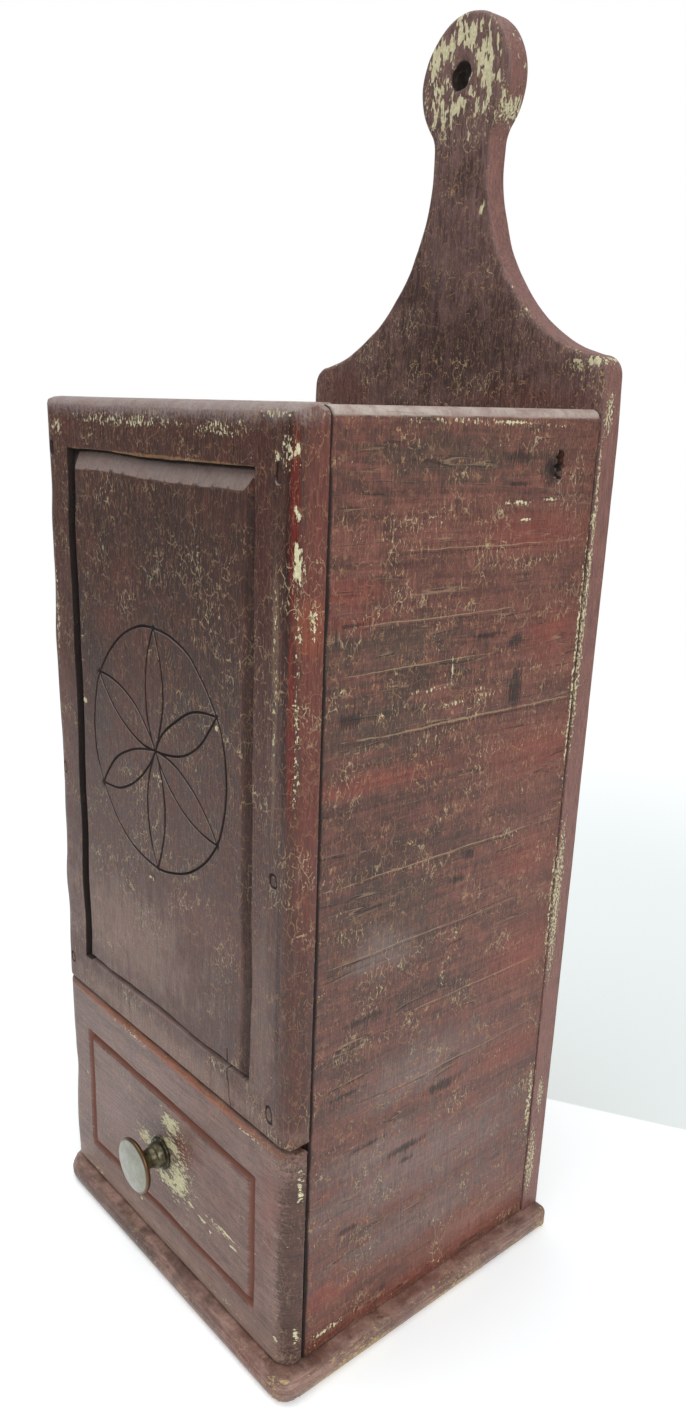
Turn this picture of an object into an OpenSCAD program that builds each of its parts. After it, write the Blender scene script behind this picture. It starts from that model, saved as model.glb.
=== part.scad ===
// Wall pipe box: an open-topped well for long clay pipes, with a small drawer under it.
// Millimetres. The origin is on the underside of the base board, on the case's centre line
// and half way back through the case. X runs to the right, Y to the back, Z up.

/* [Case] */
// Width of the case across its front
body_w = 140; // [120:1:190]
// Depth of the case, from the face of the front board to the back of the back board
case_d = 125; // [100:1:170]
// Height of the open rim above the base board, at the front
rim_h = 293; // [240:0.5:380]
// How much higher the hand-planed rim stands at the back board
rim_rise = 2.6; // [0:0.1:6]
// Thickness of the front board
front_t = 8.3; // [7:0.1:12]
// Thickness of the side boards
side_t = 12.5; // [11:0.5:16]
// Thickness of the back board
back_t = 9.3; // [7:0.1:14]
// Radius worn on both edges of the rim
rim_round = 3.4; // [1:0.1:3.4]
// Radius on the upright corners of the front board
front_round = 6.5; // [2:0.1:6.9]
// Radius worn on the front board's upper left corner, seen from the front
worn_corner = 7; // [3.5:0.5:12]
// Play between boards that meet face to face
board_play = 0.05; // [0.02:0.01:0.2]

/* [Back board] */
// Height of the right shoulder above the base board
shoulder_h = 312; // [299:1:400]
// How much lower the hand-cut left shoulder is
left_drop = 3.5; // [0:0.5:4]
// Radius on the shoulders' outer corners
shoulder_round = 6.5; // [1:0.5:8]
// Height of the top of the round finial above the base board
finial_top_h = 414.5; // [405:0.5:520]
// Radius of the round finial
finial_r = 19.9; // [16:0.1:24]
// How far the hand-cut finial and neck stand to the right of the centre line
finial_shift = 2.2; // [-4:0.1:4]
// Width of the neck at its narrowest
neck_w = 25.6; // [18:0.1:28]
// Radius of the small hollow where the finial meets the neck
neck_hollow = 8; // [2:0.5:10]
// How far the sweep's compass point stands outside the flat of the shoulder
sweep_lead = 14; // [4:0.5:24]
// Radius of the hanging hole
hole_r = 4.4; // [2:0.1:6]
// How far the hanging hole's centre is to the right of the centre line
hole_shift = 0.4; // [-4:0.1:4]
// How far the hanging hole's centre is below the finial's top
hole_down = 17.8; // [15:0.1:22]

/* [Old hole] */
// Distance of the old hole in the right side from the back board
old_hole_in = 17.8; // [12:0.1:30]
// Distance of the old hole's centre below the front of the rim
old_hole_down = 14.1; // [10:0.1:40]
// Width of the old hole
old_hole_w = 2.6; // [1:0.1:4]
// Height of the old hole
old_hole_h = 8.4; // [4:0.1:12]
// Depth of the old hole
old_hole_cut = 8; // [2:0.5:10]

/* [Base board] */
// Thickness of the base board
base_t = 7.8; // [7:0.1:16]
// Overhang of the base board in front of the case
base_over_front = 5; // [1:0.1:12]
// Overhang of the base board on the left
base_over_left = 1.2; // [1:0.1:12]
// Overhang of the base board on the right
base_over_right = 6; // [1:0.1:12]
// Radius on the base board's upper edge
base_round_top = 3.3; // [1:0.1:3.3]
// Radius on the base board's lower edge
base_round_low = 3.5; // [0.5:0.1:3.6]
// Radius of the base board's front left corner, seen from above
base_corner_left = 12; // [2:0.5:14]
// Radius of the base board's front right corner, seen from above
base_corner_right = 6.5; // [2:0.5:14]

/* [Carved panel] */
// Width of the flat frame on the left of the panel
frame_left = 17.6; // [12:0.1:26]
// Width of the flat frame on the right of the panel
frame_right = 19.7; // [12:0.1:26]
// Width of the flat frame above the panel
frame_top = 15.8; // [10:0.1:30]
// Width of the flat frame below the panel
frame_bottom = 14; // [9:0.1:30]
// Depth of the cut along the inside of the frame
panel_cut = 2.6; // [1:0.1:4]
// Width of the bevel along the panel's left edge
bevel_left = 4.6; // [1.5:0.1:10]
// Width of the bevel along the panel's right edge
bevel_right = 5.2; // [1.5:0.1:10]
// Width of the bevel along the panel's top edge
bevel_top = 6.3; // [1.5:0.1:14]
// Width of the bevel along the panel's bottom edge
bevel_bottom = 2.6; // [1.5:0.1:10]

/* [Compass rosette] */
// Radius of the scribed circle
rosette_r = 38.9; // [20:0.1:42]
// How far the rosette's centre is to the right of the centre line
rosette_shift = -1.1; // [-4:0.1:4]
// Height of the rosette's centre above the lower edge of the front board
rosette_up = 106.5; // [70:0.1:140]
// Width of the scribed lines
scribe_w = 0.9; // [0.5:0.1:1.6]
// Depth of the scribed lines
scribe_cut = 0.7; // [0.3:0.1:1.2]

/* [Drawer] */
// Height of the drawer opening above the base board
opening_h = 81.7; // [60:0.1:110]
// Gap above the drawer front
drawer_gap_top = 1; // [0.4:0.1:2]
// Gap below the drawer front
drawer_gap_low = 0.3; // [0.3:0.1:1.5]
// Gap behind the drawer front when the drawer is shut
drawer_gap_back = 0.6; // [0.3:0.1:1.5]
// Play between the drawer box and each side of the case
drawer_gap_side = 0.8; // [0.4:0.1:2]
// Play under the drawer box
drawer_gap_run = 0.3; // [0.2:0.1:1]
// Space left behind the drawer box
drawer_gap_rear = 3; // [1:0.5:10]
// Space left above the drawer box
drawer_gap_over = 4; // [2:0.5:10]
// Radius on the upright corners of the drawer front
drawer_round = 6; // [2:0.1:6.5]
// Radius worn on the drawer front's top and bottom edges
drawer_edge = 1.2; // [0.4:0.1:2]
// Thickness of the drawer's side and back boards
drawer_side_t = 6.5; // [5:0.5:10]
// Thickness of the drawer's bottom board
drawer_bottom_t = 5; // [4:0.5:8]
// Depth of the grooves in the drawer front that house the drawer's sides
housing_cut = 3; // [1.5:0.5:4]

/* [Drawer moulding] */
// Distance of the cut moulding from the ends of the drawer front
mould_side = 16.2; // [10:0.1:24]
// Distance of the cut moulding from the drawer front's lower edge
mould_low = 12.5; // [8:0.1:20]
// Distance of the cut moulding from the drawer front's upper edge
mould_top = 16; // [8:0.1:24]
// Width of the V-shaped cut
mould_w = 3.8; // [2:0.1:6]
// Depth of the V-shaped cut
mould_cut = 2; // [1:0.1:3]

/* [Well floor] */
// Thickness of the board between the well and the drawer
floor_t = 8; // [7:0.5:12]

/* [Brass knob] */
// Radius of the knob's disc
knob_r = 9.9; // [8:0.1:14]
// How far the knob stands out of the drawer front
knob_out = 13.2; // [10:0.1:20]
// Height of the knob's centre above the lower edge of the drawer front
knob_up = 39.9; // [30:0.1:50]
// How far the knob stands to the right of the drawer front's middle
knob_shift = -1.2; // [-4:0.1:4]
// Radius of the knob's foot
foot_r = 6; // [5:0.1:8]
// Thickness of the knob's foot
foot_t = 2.4; // [1.5:0.1:3]
// Radius of the knob's neck
neck_r = 3.3; // [2.8:0.1:4.5]
// Radius of the threaded post cast with the knob
post_r = 2.1; // [1.5:0.1:2.6]
// Running play between the post and what it passes through
post_play = 0.05; // [0.02:0.01:0.2]
// Width of the square nut across its flats
nut_w = 8; // [7:0.5:10]
// Thickness of the square nut
nut_t = 2.6; // [2:0.1:4]
// Length of post past the nut
post_end = 1; // [0.5:0.1:3]

/* [Nails] */
// Length of the cut nails in the case
case_nail_l = 22; // [20:1:24]
// Length of the brads in the drawer
brad_l = 14; // [12:1:15]
// Play round every nail
nail_play = 0.04; // [0.02:0.01:0.1]
// How deep the front nails' heads are sunk
front_sink = 0.9; // [0.3:0.1:1.5]
// How deep the other nails' heads are sunk
nail_sink = 0.4; // [0.2:0.1:1]
// Distance of the front nails from the left end of the front board
front_nail_in_left = 6.5; // [6.5:0.1:9.8]
// Distance of the front nails from the right end of the front board
front_nail_in_right = 9.8; // [6.5:0.1:9.8]

/* [Hidden] */
$fn = 64;

eps = 0.5;
big = 1000;
half_w = body_w / 2;
front_y = -case_d / 2;
back_y = case_d / 2;
// Height above the underside of what is measured from the base board's upper face
function top(h) = base_t + h;
// Where the boards meet
sides_y0 = front_y + front_t;
back_y0 = back_y - back_t;
inner_half = half_w - side_t;
rim_z = top(rim_h);
opening_z = top(opening_h);
floor_z = opening_z;
floor_top_z = floor_z + floor_t;

// The sweep from shoulder to neck is one compass arc on each side, -1 left and 1 right
shoulder_x = half_w - shoulder_round;
function sweep_x(side) = side * (shoulder_x + sweep_lead);
function sweep_r(side) = abs(sweep_x(side) - finial_shift) - neck_w / 2;
function shoulder_z(side) = top(shoulder_h) - (side < 0 ? left_drop : 0);
function sweep_z(side) = shoulder_z(side) + sqrt(pow(sweep_r(side), 2) - pow(sweep_lead, 2));
finial_z = top(finial_top_h) - finial_r;
// The hollow between finial and neck: its centre from the finial's centre, and how far from the
// finial's centre line it touches the finial
hollow_x = neck_w / 2 + neck_hollow;
hollow_down = sqrt(pow(finial_r + neck_hollow, 2) - pow(hollow_x, 2));
hollow_share = finial_r / (finial_r + neck_hollow);
hole_z = top(finial_top_h) - hole_down;

// Drawer front and box
drawer_z0 = base_t + drawer_gap_low;
drawer_z1 = opening_z - drawer_gap_top;
drawer_front_t = front_t - drawer_gap_back;
drawer_back_face = front_y + drawer_front_t;
box_half = inner_half - drawer_gap_side;
box_y1 = back_y0 - drawer_gap_rear;
box_z0 = base_t + drawer_gap_run;
box_side_z0 = box_z0 + drawer_bottom_t;
box_z1 = opening_z - drawer_gap_over;
knob_z = drawer_z0 + knob_up;
post_l = drawer_front_t + nut_t + post_end;

// Cut nails as [head width, head height, head thickness, shank width, tip width,
// shank thickness, length]
case_nail = [3.4, 5.4, 1.2, 2.4, 1.2, 1.8, case_nail_l];
brad = [2.2, 3, 0.8, 1.5, 0.8, 1.2, brad_l];
// Heights of the front nails above the drawer opening and below the rim
front_nail_low = 8.7;
front_nail_high = 16.5;
front_nail_middle = 0.41;
// Spacing of the other nails from the ends of what they hold
back_nail_end = 24;
back_nails_each = 4;
base_nail_end = 18;
floor_nail_end = 24;
brad_end = 14;

oxblood = [0.33, 0.13, 0.12];
oxblood_dark = [0.27, 0.12, 0.12];
bare_wood = [0.62, 0.47, 0.31];
brass = [0.55, 0.5, 0.36];
iron = [0.18, 0.16, 0.15];

// A flat shape in X and Z, given thickness from y0 to y1
module upright(y0, y1)
    translate([0, y1, 0]) rotate([90, 0, 0]) linear_extrude(y1 - y0) children();

// A flat shape in Y and Z, given thickness from x0 to x1
module sideways(x0, x1)
    translate([x0, 0, 0]) rotate([90, 0, 90]) linear_extrude(x1 - x0) children();

// A flat shape in X and Y, given thickness from z0 to z1
module level(z0, z1)
    translate([0, 0, z0]) linear_extrude(z1 - z0) children();

// A rectangle whose corners have the radii r, from the low corner anticlockwise
module soft_rect(x0, y0, x1, y1, r) {
    low_left = r[0] > 0 ? [[x0, y0 + r[0]], [x0 + r[0], y0]] : [[x0, y0]];
    low_right = r[1] > 0 ? [[x1 - r[1], y0], [x1, y0 + r[1]]] : [[x1, y0]];
    top_right = r[2] > 0 ? [[x1, y1 - r[2]], [x1 - r[2], y1]] : [[x1, y1]];
    top_left = r[3] > 0 ? [[x0 + r[3], y1], [x0, y1 - r[3]]] : [[x0, y1]];
    polygon(concat(low_left, low_right, top_right, top_left));
    if (r[0] > 0) translate([x0 + r[0], y0 + r[0]]) circle(r[0]);
    if (r[1] > 0) translate([x1 - r[1], y0 + r[1]]) circle(r[1]);
    if (r[2] > 0) translate([x1 - r[2], y1 - r[2]]) circle(r[2]);
    if (r[3] > 0) translate([x0 + r[3], y1 - r[3]]) circle(r[3]);
}

// A block between a rectangle on the plane y0 and another on y1, each [x0, z0, x1, z1]
module sloped_block(near, far, y0, y1)
    intersection() {
        level(-big, big)
            polygon([[near[0], y0], [near[2], y0], [far[2], y1], [far[0], y1]]);
        sideways(-big, big)
            polygon([[y0, near[1]], [y0, near[3]], [y1, far[3]], [y1, far[1]]]);
    }

// A cut nail driven along -Z, with the top of its head at z = 0
module cut_nail(n, play = 0, rise = 0) {
    head = [n[0] + 2 * play, n[1] + 2 * play];
    translate([-head[0] / 2, -head[1] / 2, -n[2] - play])
        cube([head[0], head[1], n[2] + play + rise]);
    wide = n[3] / 2 + play;
    narrow = n[4] / 2 + play;
    thick = n[5] + 2 * play;
    rotate([90, 0, 0]) translate([0, 0, -thick / 2]) linear_extrude(thick)
        polygon([[-wide, -n[2]], [-narrow, -n[6] - play], [narrow, -n[6] - play], [wide, -n[2]]]);
}

// The room that a sunk nail takes in the wood, open to the surface above its head
module nail_room(n, sink)
    cut_nail(n, nail_play, sink + eps);

module at_front_nails()
    for (side = [-1, 1], share = [0, front_nail_middle, 1])
        let (low = opening_z + front_nail_low, high = rim_z - front_nail_high)
            translate([side * (half_w - (side < 0 ? front_nail_in_left : front_nail_in_right)),
                front_y + front_sink,
                low + share * (high - low)])
                rotate([90, 0, 0]) children();

// Nails through the back board into the sides, and two into the well floor
module at_back_nails() {
    low = base_t + back_nail_end;
    step = (rim_z - back_nail_end - low) / (back_nails_each - 1);
    for (side = [-1, 1], i = [0 : back_nails_each - 1])
        translate([side * (half_w - side_t / 2), back_y - nail_sink, low + i * step])
            rotate([-90, 0, 0]) children();
    for (side = [-1, 1])
        translate([side * inner_half / 2, back_y - nail_sink, floor_z + floor_t / 2])
            rotate([-90, 0, 0]) rotate([0, 0, 90]) children();
}

// Nails up through the base board into the sides and the back
module at_base_nails() {
    for (side = [-1, 1], y = [sides_y0 + base_nail_end, back_y0 - base_nail_end])
        translate([side * (half_w - side_t / 2), y, nail_sink])
            rotate([180, 0, 0]) children();
    for (side = [-1, 1])
        translate([side * inner_half / 2, back_y - back_t / 2, nail_sink])
            rotate([180, 0, 0]) rotate([0, 0, 90]) children();
}

// Nails through the sides into the ends of the well floor
module at_floor_nails()
    for (side = [-1, 1], y = [sides_y0 + floor_nail_end, back_y0 - floor_nail_end])
        translate([side * (half_w - nail_sink), y, floor_z + floor_t / 2])
            rotate([0, side * 90, 0]) children();

// Brads through the drawer's sides into its back
module at_drawer_back_nails()
    for (side = [-1, 1], z = [box_side_z0 + brad_end, box_z1 - brad_end])
        translate([side * (box_half - nail_sink), box_y1 - drawer_side_t / 2, z])
            rotate([0, side * 90, 0]) rotate([0, 0, 90]) children();

// Brads up through the drawer's bottom into its sides
module at_drawer_bottom_nails()
    for (side = [-1, 1], share = [0, 0.5, 1])
        let (low = drawer_back_face + brad_end, high = box_y1 - brad_end)
            translate([side * (box_half - drawer_side_t / 2), low + share * (high - low),
                box_z0 + nail_sink])
                rotate([180, 0, 0]) children();

// The base board: rounded on its edges and corners, flush with the case at the back
module base_board() {
    x0 = -half_w - base_over_left;
    x1 = half_w + base_over_right;
    y0 = front_y - base_over_front;
    edges = [base_round_low, base_round_low, base_round_top, base_round_top];
    color(oxblood_dark) difference() {
        intersection() {
            level(0, base_t)
                soft_rect(x0, y0, x1, back_y, [base_corner_left, base_corner_right, rim_round, rim_round]);
            upright(y0 - eps, back_y + eps) soft_rect(x0, 0, x1, base_t, edges);
            sideways(x0 - eps, x1 + eps)
                soft_rect(y0, 0, back_y, base_t, [base_round_low, 0, 0, base_round_top]);
        }
        at_base_nails() nail_room(case_nail, nail_sink);
    }
}

// The outline of the back board, with its shoulders, swept neck and round finial
module back_outline() {
    low_z = shoulder_z(-1) - 2 * shoulder_round;
    soft_rect(-half_w, base_t + board_play, half_w, shoulder_z(-1), [0, 0, 0, shoulder_round]);
    translate([0, low_z])
        soft_rect(0, 0, half_w, shoulder_z(1) - low_z, [0, 0, shoulder_round, 0]);
    translate([finial_shift, finial_z]) circle(finial_r);
    translate([finial_shift - neck_w / 2, low_z]) square([neck_w, finial_z - low_z]);
    for (side = [-1, 1]) difference() {
        translate([side < 0 ? -shoulder_x : 0, shoulder_z(side) - eps])
            square([shoulder_x, sweep_z(side) - shoulder_z(side) + eps]);
        translate([sweep_x(side), sweep_z(side)]) circle(sweep_r(side));
    }
    translate([finial_shift, finial_z - hollow_down]) for (side = [-1, 1]) difference() {
        translate([side < 0 ? -hollow_x * hollow_share : 0, 0])
            square([hollow_x * hollow_share, hollow_down * (1 - hollow_share)]);
        translate([side * hollow_x, 0]) circle(neck_hollow);
    }
}

module back_board()
    color(oxblood) difference() {
        upright(back_y0, back_y) back_outline();
        translate([hole_shift, back_y + eps, hole_z])
            rotate([90, 0, 0]) cylinder(r = hole_r, h = back_t + 2 * eps);
        at_back_nails() nail_room(case_nail, nail_sink);
        at_base_nails() nail_room(case_nail, nail_sink);
    }

// One side board, from behind the front board to the back board; its rim rises to the back
module side_board(side) {
    x0 = side < 0 ? -half_w : inner_half;
    long = back_y0 - sides_y0;
    color(oxblood) difference() {
        intersection() {
            translate([x0, sides_y0 + board_play, base_t + board_play])
                cube([side_t, long - 2 * board_play, rim_h + rim_rise]);
            translate([0, sides_y0, rim_z]) rotate([atan(rim_rise / long), 0, 0])
                upright(-case_d, case_d)
                    soft_rect(x0, -big, x0 + side_t, 0, [0, 0, rim_round, rim_round]);
        }
        at_front_nails() nail_room(case_nail, front_sink);
        at_back_nails() nail_room(case_nail, nail_sink);
        at_base_nails() nail_room(case_nail, nail_sink);
        at_floor_nails() nail_room(case_nail, nail_sink);
    }
}

module left_side() side_board(-1);

// The right side has the empty hole of a lost nail near its upper back corner
module right_side()
    color(oxblood) difference() {
        side_board(1);
        translate([half_w - old_hole_cut, back_y0 - old_hole_in - old_hole_w / 2,
            rim_z - old_hole_down - old_hole_h / 2])
            cube([old_hole_cut + eps, old_hole_w, old_hole_h]);
    }

// The cut that leaves a raised and bevelled panel standing in the front board
module panel_cut_out() {
    outer = [-half_w + frame_left, opening_z + frame_bottom,
        half_w - frame_right, rim_z - frame_top];
    field = [outer[0] + bevel_left, outer[1] + bevel_bottom,
        outer[2] - bevel_right, outer[3] - bevel_top];
    difference() {
        upright(front_y - eps, front_y + panel_cut)
            polygon([[outer[0], outer[1]], [outer[2], outer[1]],
                [outer[2], outer[3]], [outer[0], outer[3]]]);
        sloped_block(field, outer, front_y, front_y + panel_cut);
        upright(front_y - 2 * eps, front_y) square([2 * big, 2 * big], center = true);
    }
}

// A scribed arc of radius r about the origin of the X-Z plane, from one angle through a turn
module scribed_arc(r, from, turn)
    rotate([90, 0, 0]) rotate([0, 0, from])
        rotate_extrude(angle = turn)
            translate([r - scribe_w / 2, -scribe_cut]) square([scribe_w, scribe_cut + eps]);

// The compass rosette: one circle and six arcs of the same radius, which make six petals
module rosette()
    translate([rosette_shift, front_y, opening_z + rosette_up]) {
        scribed_arc(rosette_r, 0, 360);
        for (i = [0 : 5])
            let (a = 30 + 60 * i)
                translate([rosette_r * cos(a), 0, rosette_r * sin(a)])
                    scribed_arc(rosette_r, a + 120, 120);
    }

module front_board()
    color(oxblood) difference() {
        intersection() {
            level(opening_z, rim_z)
                soft_rect(-half_w, front_y, half_w, sides_y0, [front_round, front_round, 0, 0]);
            sideways(-half_w - eps, half_w + eps)
                soft_rect(front_y, opening_z, sides_y0, rim_z,
                    [drawer_edge, 0, rim_round, rim_round]);
            upright(front_y - eps, sides_y0 + eps)
                soft_rect(-half_w, 0, half_w, rim_z, [0, 0, 0, worn_corner]);
        }
        panel_cut_out();
        rosette();
        at_front_nails() nail_room(case_nail, front_sink);
    }

// The board that closes the well below and covers the drawer
module well_floor()
    color(bare_wood) difference() {
        translate([-inner_half + board_play, sides_y0 + board_play, floor_z])
            cube([2 * (inner_half - board_play), back_y0 - sides_y0 - 2 * board_play, floor_t]);
        at_floor_nails() nail_room(case_nail, nail_sink);
        at_back_nails() nail_room(case_nail, nail_sink);
    }

// The V-shaped moulding cut in the drawer front, mitred at its corners
module moulding_cut() {
    outer = [-half_w + mould_side, drawer_z0 + mould_low,
        half_w - mould_side, drawer_z1 - mould_top];
    grown = mould_w / 2;
    middle = [outer[0] + grown, outer[1] + grown, outer[2] - grown, outer[3] - grown];
    inner = [middle[0] + grown, middle[1] + grown, middle[2] - grown, middle[3] - grown];
    difference() {
        sloped_block(outer, middle, front_y, front_y + mould_cut);
        sloped_block(inner, middle, front_y, front_y + mould_cut);
    }
}

// The block of one drawer side, grown by play where it is housed in the drawer front
module drawer_side_block(side, play = 0) {
    x0 = side < 0 ? -box_half : box_half - drawer_side_t;
    y0 = drawer_back_face - housing_cut;
    translate([x0 - play, y0 - play, box_side_z0 - play])
        cube([drawer_side_t + 2 * play, box_y1 - y0 + play, box_z1 - box_side_z0 + 2 * play]);
}

module drawer_front()
    color(oxblood) difference() {
        intersection() {
            level(drawer_z0, drawer_z1)
                soft_rect(-half_w, front_y, half_w, drawer_back_face,
                    [drawer_round, drawer_round, 0, 0]);
            sideways(-half_w - eps, half_w + eps)
                soft_rect(front_y, drawer_z0, drawer_back_face, drawer_z1,
                    [drawer_edge, 0, 0, drawer_edge]);
        }
        moulding_cut();
        for (side = [-1, 1]) drawer_side_block(side, board_play);
        translate([knob_shift, drawer_back_face + eps, knob_z])
            rotate([90, 0, 0])
                cylinder(r = post_r + post_play, h = drawer_front_t + 2 * eps);
    }

module drawer_side(side)
    color(bare_wood) difference() {
        drawer_side_block(side);
        at_drawer_back_nails() nail_room(brad, nail_sink);
        at_drawer_bottom_nails() nail_room(brad, nail_sink);
    }

module drawer_left_side() drawer_side(-1);

module drawer_right_side() drawer_side(1);

module drawer_back()
    color(bare_wood) difference() {
        inner = box_half - drawer_side_t - board_play;
        translate([-inner, box_y1 - drawer_side_t, box_side_z0 + board_play])
            cube([2 * inner, drawer_side_t, box_z1 - box_side_z0 - board_play]);
        at_drawer_back_nails() nail_room(brad, nail_sink);
    }

module drawer_bottom()
    color(bare_wood) difference() {
        translate([-box_half, drawer_back_face + board_play, box_z0])
            cube([2 * box_half, box_y1 - drawer_back_face - board_play,
                drawer_bottom_t - board_play]);
        at_drawer_bottom_nails() nail_room(brad, nail_sink);
    }

// Points on a quarter or other part of a circle, with the centre c
function arc_points(c, r, from, to, steps) =
    [for (i = [0 : steps]) let (a = from + (to - from) * i / steps)
        [c[0] + r * cos(a), c[1] + r * sin(a)]];

// The turned profile of the knob, as radius and distance out of the drawer front
function knob_profile() =
    let (
        rim = 0.9,
        bead = 0.7,
        disc_z = knob_out - 3.2,
        cove_r = (disc_z - foot_t) / 2,
        crown_drop = 1.3,
        crown_z = knob_out - crown_drop
    )
    concat(
        [[0, 0], [foot_r - bead, 0]],
        arc_points([foot_r - bead, bead], bead, -90, 90, 6),
        [[foot_r - 1.4, 2 * bead], [foot_r - 1.4, foot_t]],
        arc_points([neck_r + cove_r, foot_t + cove_r], cove_r, 225, 150, 8),
        [[knob_r - rim - 1.2, disc_z + 0.5]],
        arc_points([knob_r - rim, crown_z - rim], rim, -60, 80, 7),
        [for (i = [1 : 6]) let (s = 1 - i / 6)
            [(knob_r - rim) * s, knob_out - crown_drop * s * s]]
    );

// The brass knob with its post; the foot sits on the drawer front
module drawer_knob()
    color(brass) translate([knob_shift, front_y, knob_z]) rotate([90, 0, 0]) {
        rotate_extrude() polygon(knob_profile());
        translate([0, 0, -post_l]) cylinder(r = post_r, h = post_l + foot_t / 2);
    }

module knob_nut()
    color(brass) difference() {
        translate([knob_shift - nut_w / 2, drawer_back_face + board_play, knob_z - nut_w / 2])
            cube([nut_w, nut_t, nut_w]);
        translate([knob_shift, drawer_back_face + nut_t + eps, knob_z])
            rotate([90, 0, 0]) cylinder(r = post_r + post_play, h = nut_t + 2 * eps);
    }

module front_nails() color(iron) at_front_nails() cut_nail(case_nail);

module back_nails() color(iron) at_back_nails() cut_nail(case_nail);

module base_nails() color(iron) at_base_nails() cut_nail(case_nail);

module floor_nails() color(iron) at_floor_nails() cut_nail(case_nail);

module drawer_back_nails() color(iron) at_drawer_back_nails() cut_nail(brad);

module drawer_bottom_nails() color(iron) at_drawer_bottom_nails() cut_nail(brad);

base_board();
back_board();
left_side();
right_side();
front_board();
well_floor();
drawer_front();
drawer_left_side();
drawer_right_side();
drawer_back();
drawer_bottom();
drawer_knob();
knob_nut();
front_nails();
back_nails();
base_nails();
floor_nails();
drawer_back_nails();
drawer_bottom_nails();
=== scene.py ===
"""Looks of the antique wall pipe box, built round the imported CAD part.

Sizes in this file are millimetres in the part's own frame: X right, Y back, Z up, with the origin on
the underside of the base board. They become metres where a mesh is made."""

import math

import bpy
import numpy as np
from mathutils import Matrix, Vector
from mathutils.geometry import delaunay_2d_cdt
from mathutils.kdtree import KDTree

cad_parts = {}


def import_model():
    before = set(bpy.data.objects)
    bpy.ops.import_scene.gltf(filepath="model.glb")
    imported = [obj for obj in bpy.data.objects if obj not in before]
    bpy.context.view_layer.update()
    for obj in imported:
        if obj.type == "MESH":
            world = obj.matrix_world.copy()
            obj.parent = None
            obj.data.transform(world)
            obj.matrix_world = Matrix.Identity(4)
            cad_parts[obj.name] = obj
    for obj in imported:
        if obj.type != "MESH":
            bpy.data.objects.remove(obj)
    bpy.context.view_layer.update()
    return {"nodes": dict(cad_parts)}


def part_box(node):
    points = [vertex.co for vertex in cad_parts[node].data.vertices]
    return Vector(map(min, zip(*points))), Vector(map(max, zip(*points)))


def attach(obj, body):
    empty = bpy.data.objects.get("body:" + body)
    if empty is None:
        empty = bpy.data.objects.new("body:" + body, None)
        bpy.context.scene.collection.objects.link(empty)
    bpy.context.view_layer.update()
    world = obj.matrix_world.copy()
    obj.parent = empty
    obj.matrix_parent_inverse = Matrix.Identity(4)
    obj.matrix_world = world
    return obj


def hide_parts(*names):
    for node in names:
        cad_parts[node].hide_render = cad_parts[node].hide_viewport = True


MM = 0.001
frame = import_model()
node_of = frame["nodes"]


def size_of(node):
    """The node's box in millimetres, as two arrays."""
    lo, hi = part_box(node)
    return np.array(lo) / MM, np.array(hi) / MM


# half the case's width, the face of its front, and the radius of its worn rim
HALF_W = 70.0
FRONT_Y = -62.5
RIM_ROUND = 3.4
# directions of u, of v and out of the face, for boards that face the front
FACING_FRONT = ((1, 0, 0), (0, 0, 1), (0, -1, 0))
# how far inside a board's outline its face is warped in full
WARP_REACH = 9


def hashed(cell, seed):
    """A fixed value from -1 to 1 for each lattice cell."""
    n = cell[:, 0] * 73856093 ^ cell[:, 1] * 19349663 ^ cell[:, 2] * 83492791 ^ (seed + 7) * 26544357
    n &= 0xFFFFFFFF
    n = (n ^ (n >> 15)) * 2246822519 & 0xFFFFFFFF
    n = (n ^ (n >> 13)) * 3266489917 & 0xFFFFFFFF
    return ((n ^ (n >> 16)) & 0xFFFF) / 32767.5 - 1


def noise(p, size, seed=0, octaves=1):
    """Smooth noise from -1 to 1 at the points p, with features of the given size."""
    total = np.zeros(len(p))
    for octave in range(octaves):
        q = p / (np.asarray(size, float) / 2**octave)
        cell = np.floor(q).astype(np.int64)
        f = q - cell
        f = f * f * (3 - 2 * f)
        value = np.zeros(len(p))
        for corner in np.ndindex(2, 2, 2):
            share = np.prod(np.where(corner, f, 1 - f), axis=1)
            value += share * hashed(cell + corner, seed + 31 * octave)
        total += value * 0.5**octave
    return total


def flat_noise(u, v, size, seed=0, octaves=1):
    """Noise over a face; size is one number, or one along u and one along v."""
    if isinstance(size, tuple):
        size = (*size, 1)
    return noise(np.stack([u, v, np.full_like(u, 0.5)], 1), size, seed, octaves)


def waves(u, v, *layers):
    """How uneven a face is: a sum of noise layers, each (depth, size, seed, octaves)."""
    return sum(depth * (1 + flat_noise(u, v, *rest)) for depth, *rest in layers)


def spread(lo, hi, round_lo, round_hi, pitch, fine=()):
    """Positions from lo to hi: close together on the rounded edges and in the fine spans."""
    turn = np.linspace(0, math.pi / 2, 6)
    low = lo + round_lo * (1 - np.cos(turn))
    high = hi - round_hi * (1 - np.cos(turn))
    out = set(np.round(low, 4)) | set(np.round(high, 4))
    here = low[-1]
    for a, b, step in sorted(fine) + [(high[-1], high[-1], pitch)]:
        if a > here:
            n = max(1, round((a - here) / pitch))
            out |= set(np.round(np.linspace(here, a, n + 1), 4))
        if b > a:
            n = max(1, round((b - a) / step))
            out |= set(np.round(np.linspace(a, b, n + 1), 4))
        here = max(here, b)
    return np.array(sorted(out))


def grid_lines(box, radii, pitches, fine=((), ())):
    """The grid's positions along u and along v for a box whose edges have these radii.

    Four sides are always given in the order left, low, right, top."""
    return [spread(box[i], box[i + 2], radii[i], radii[i + 2], pitches[i], fine[i]) for i in (0, 1)]


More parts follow.
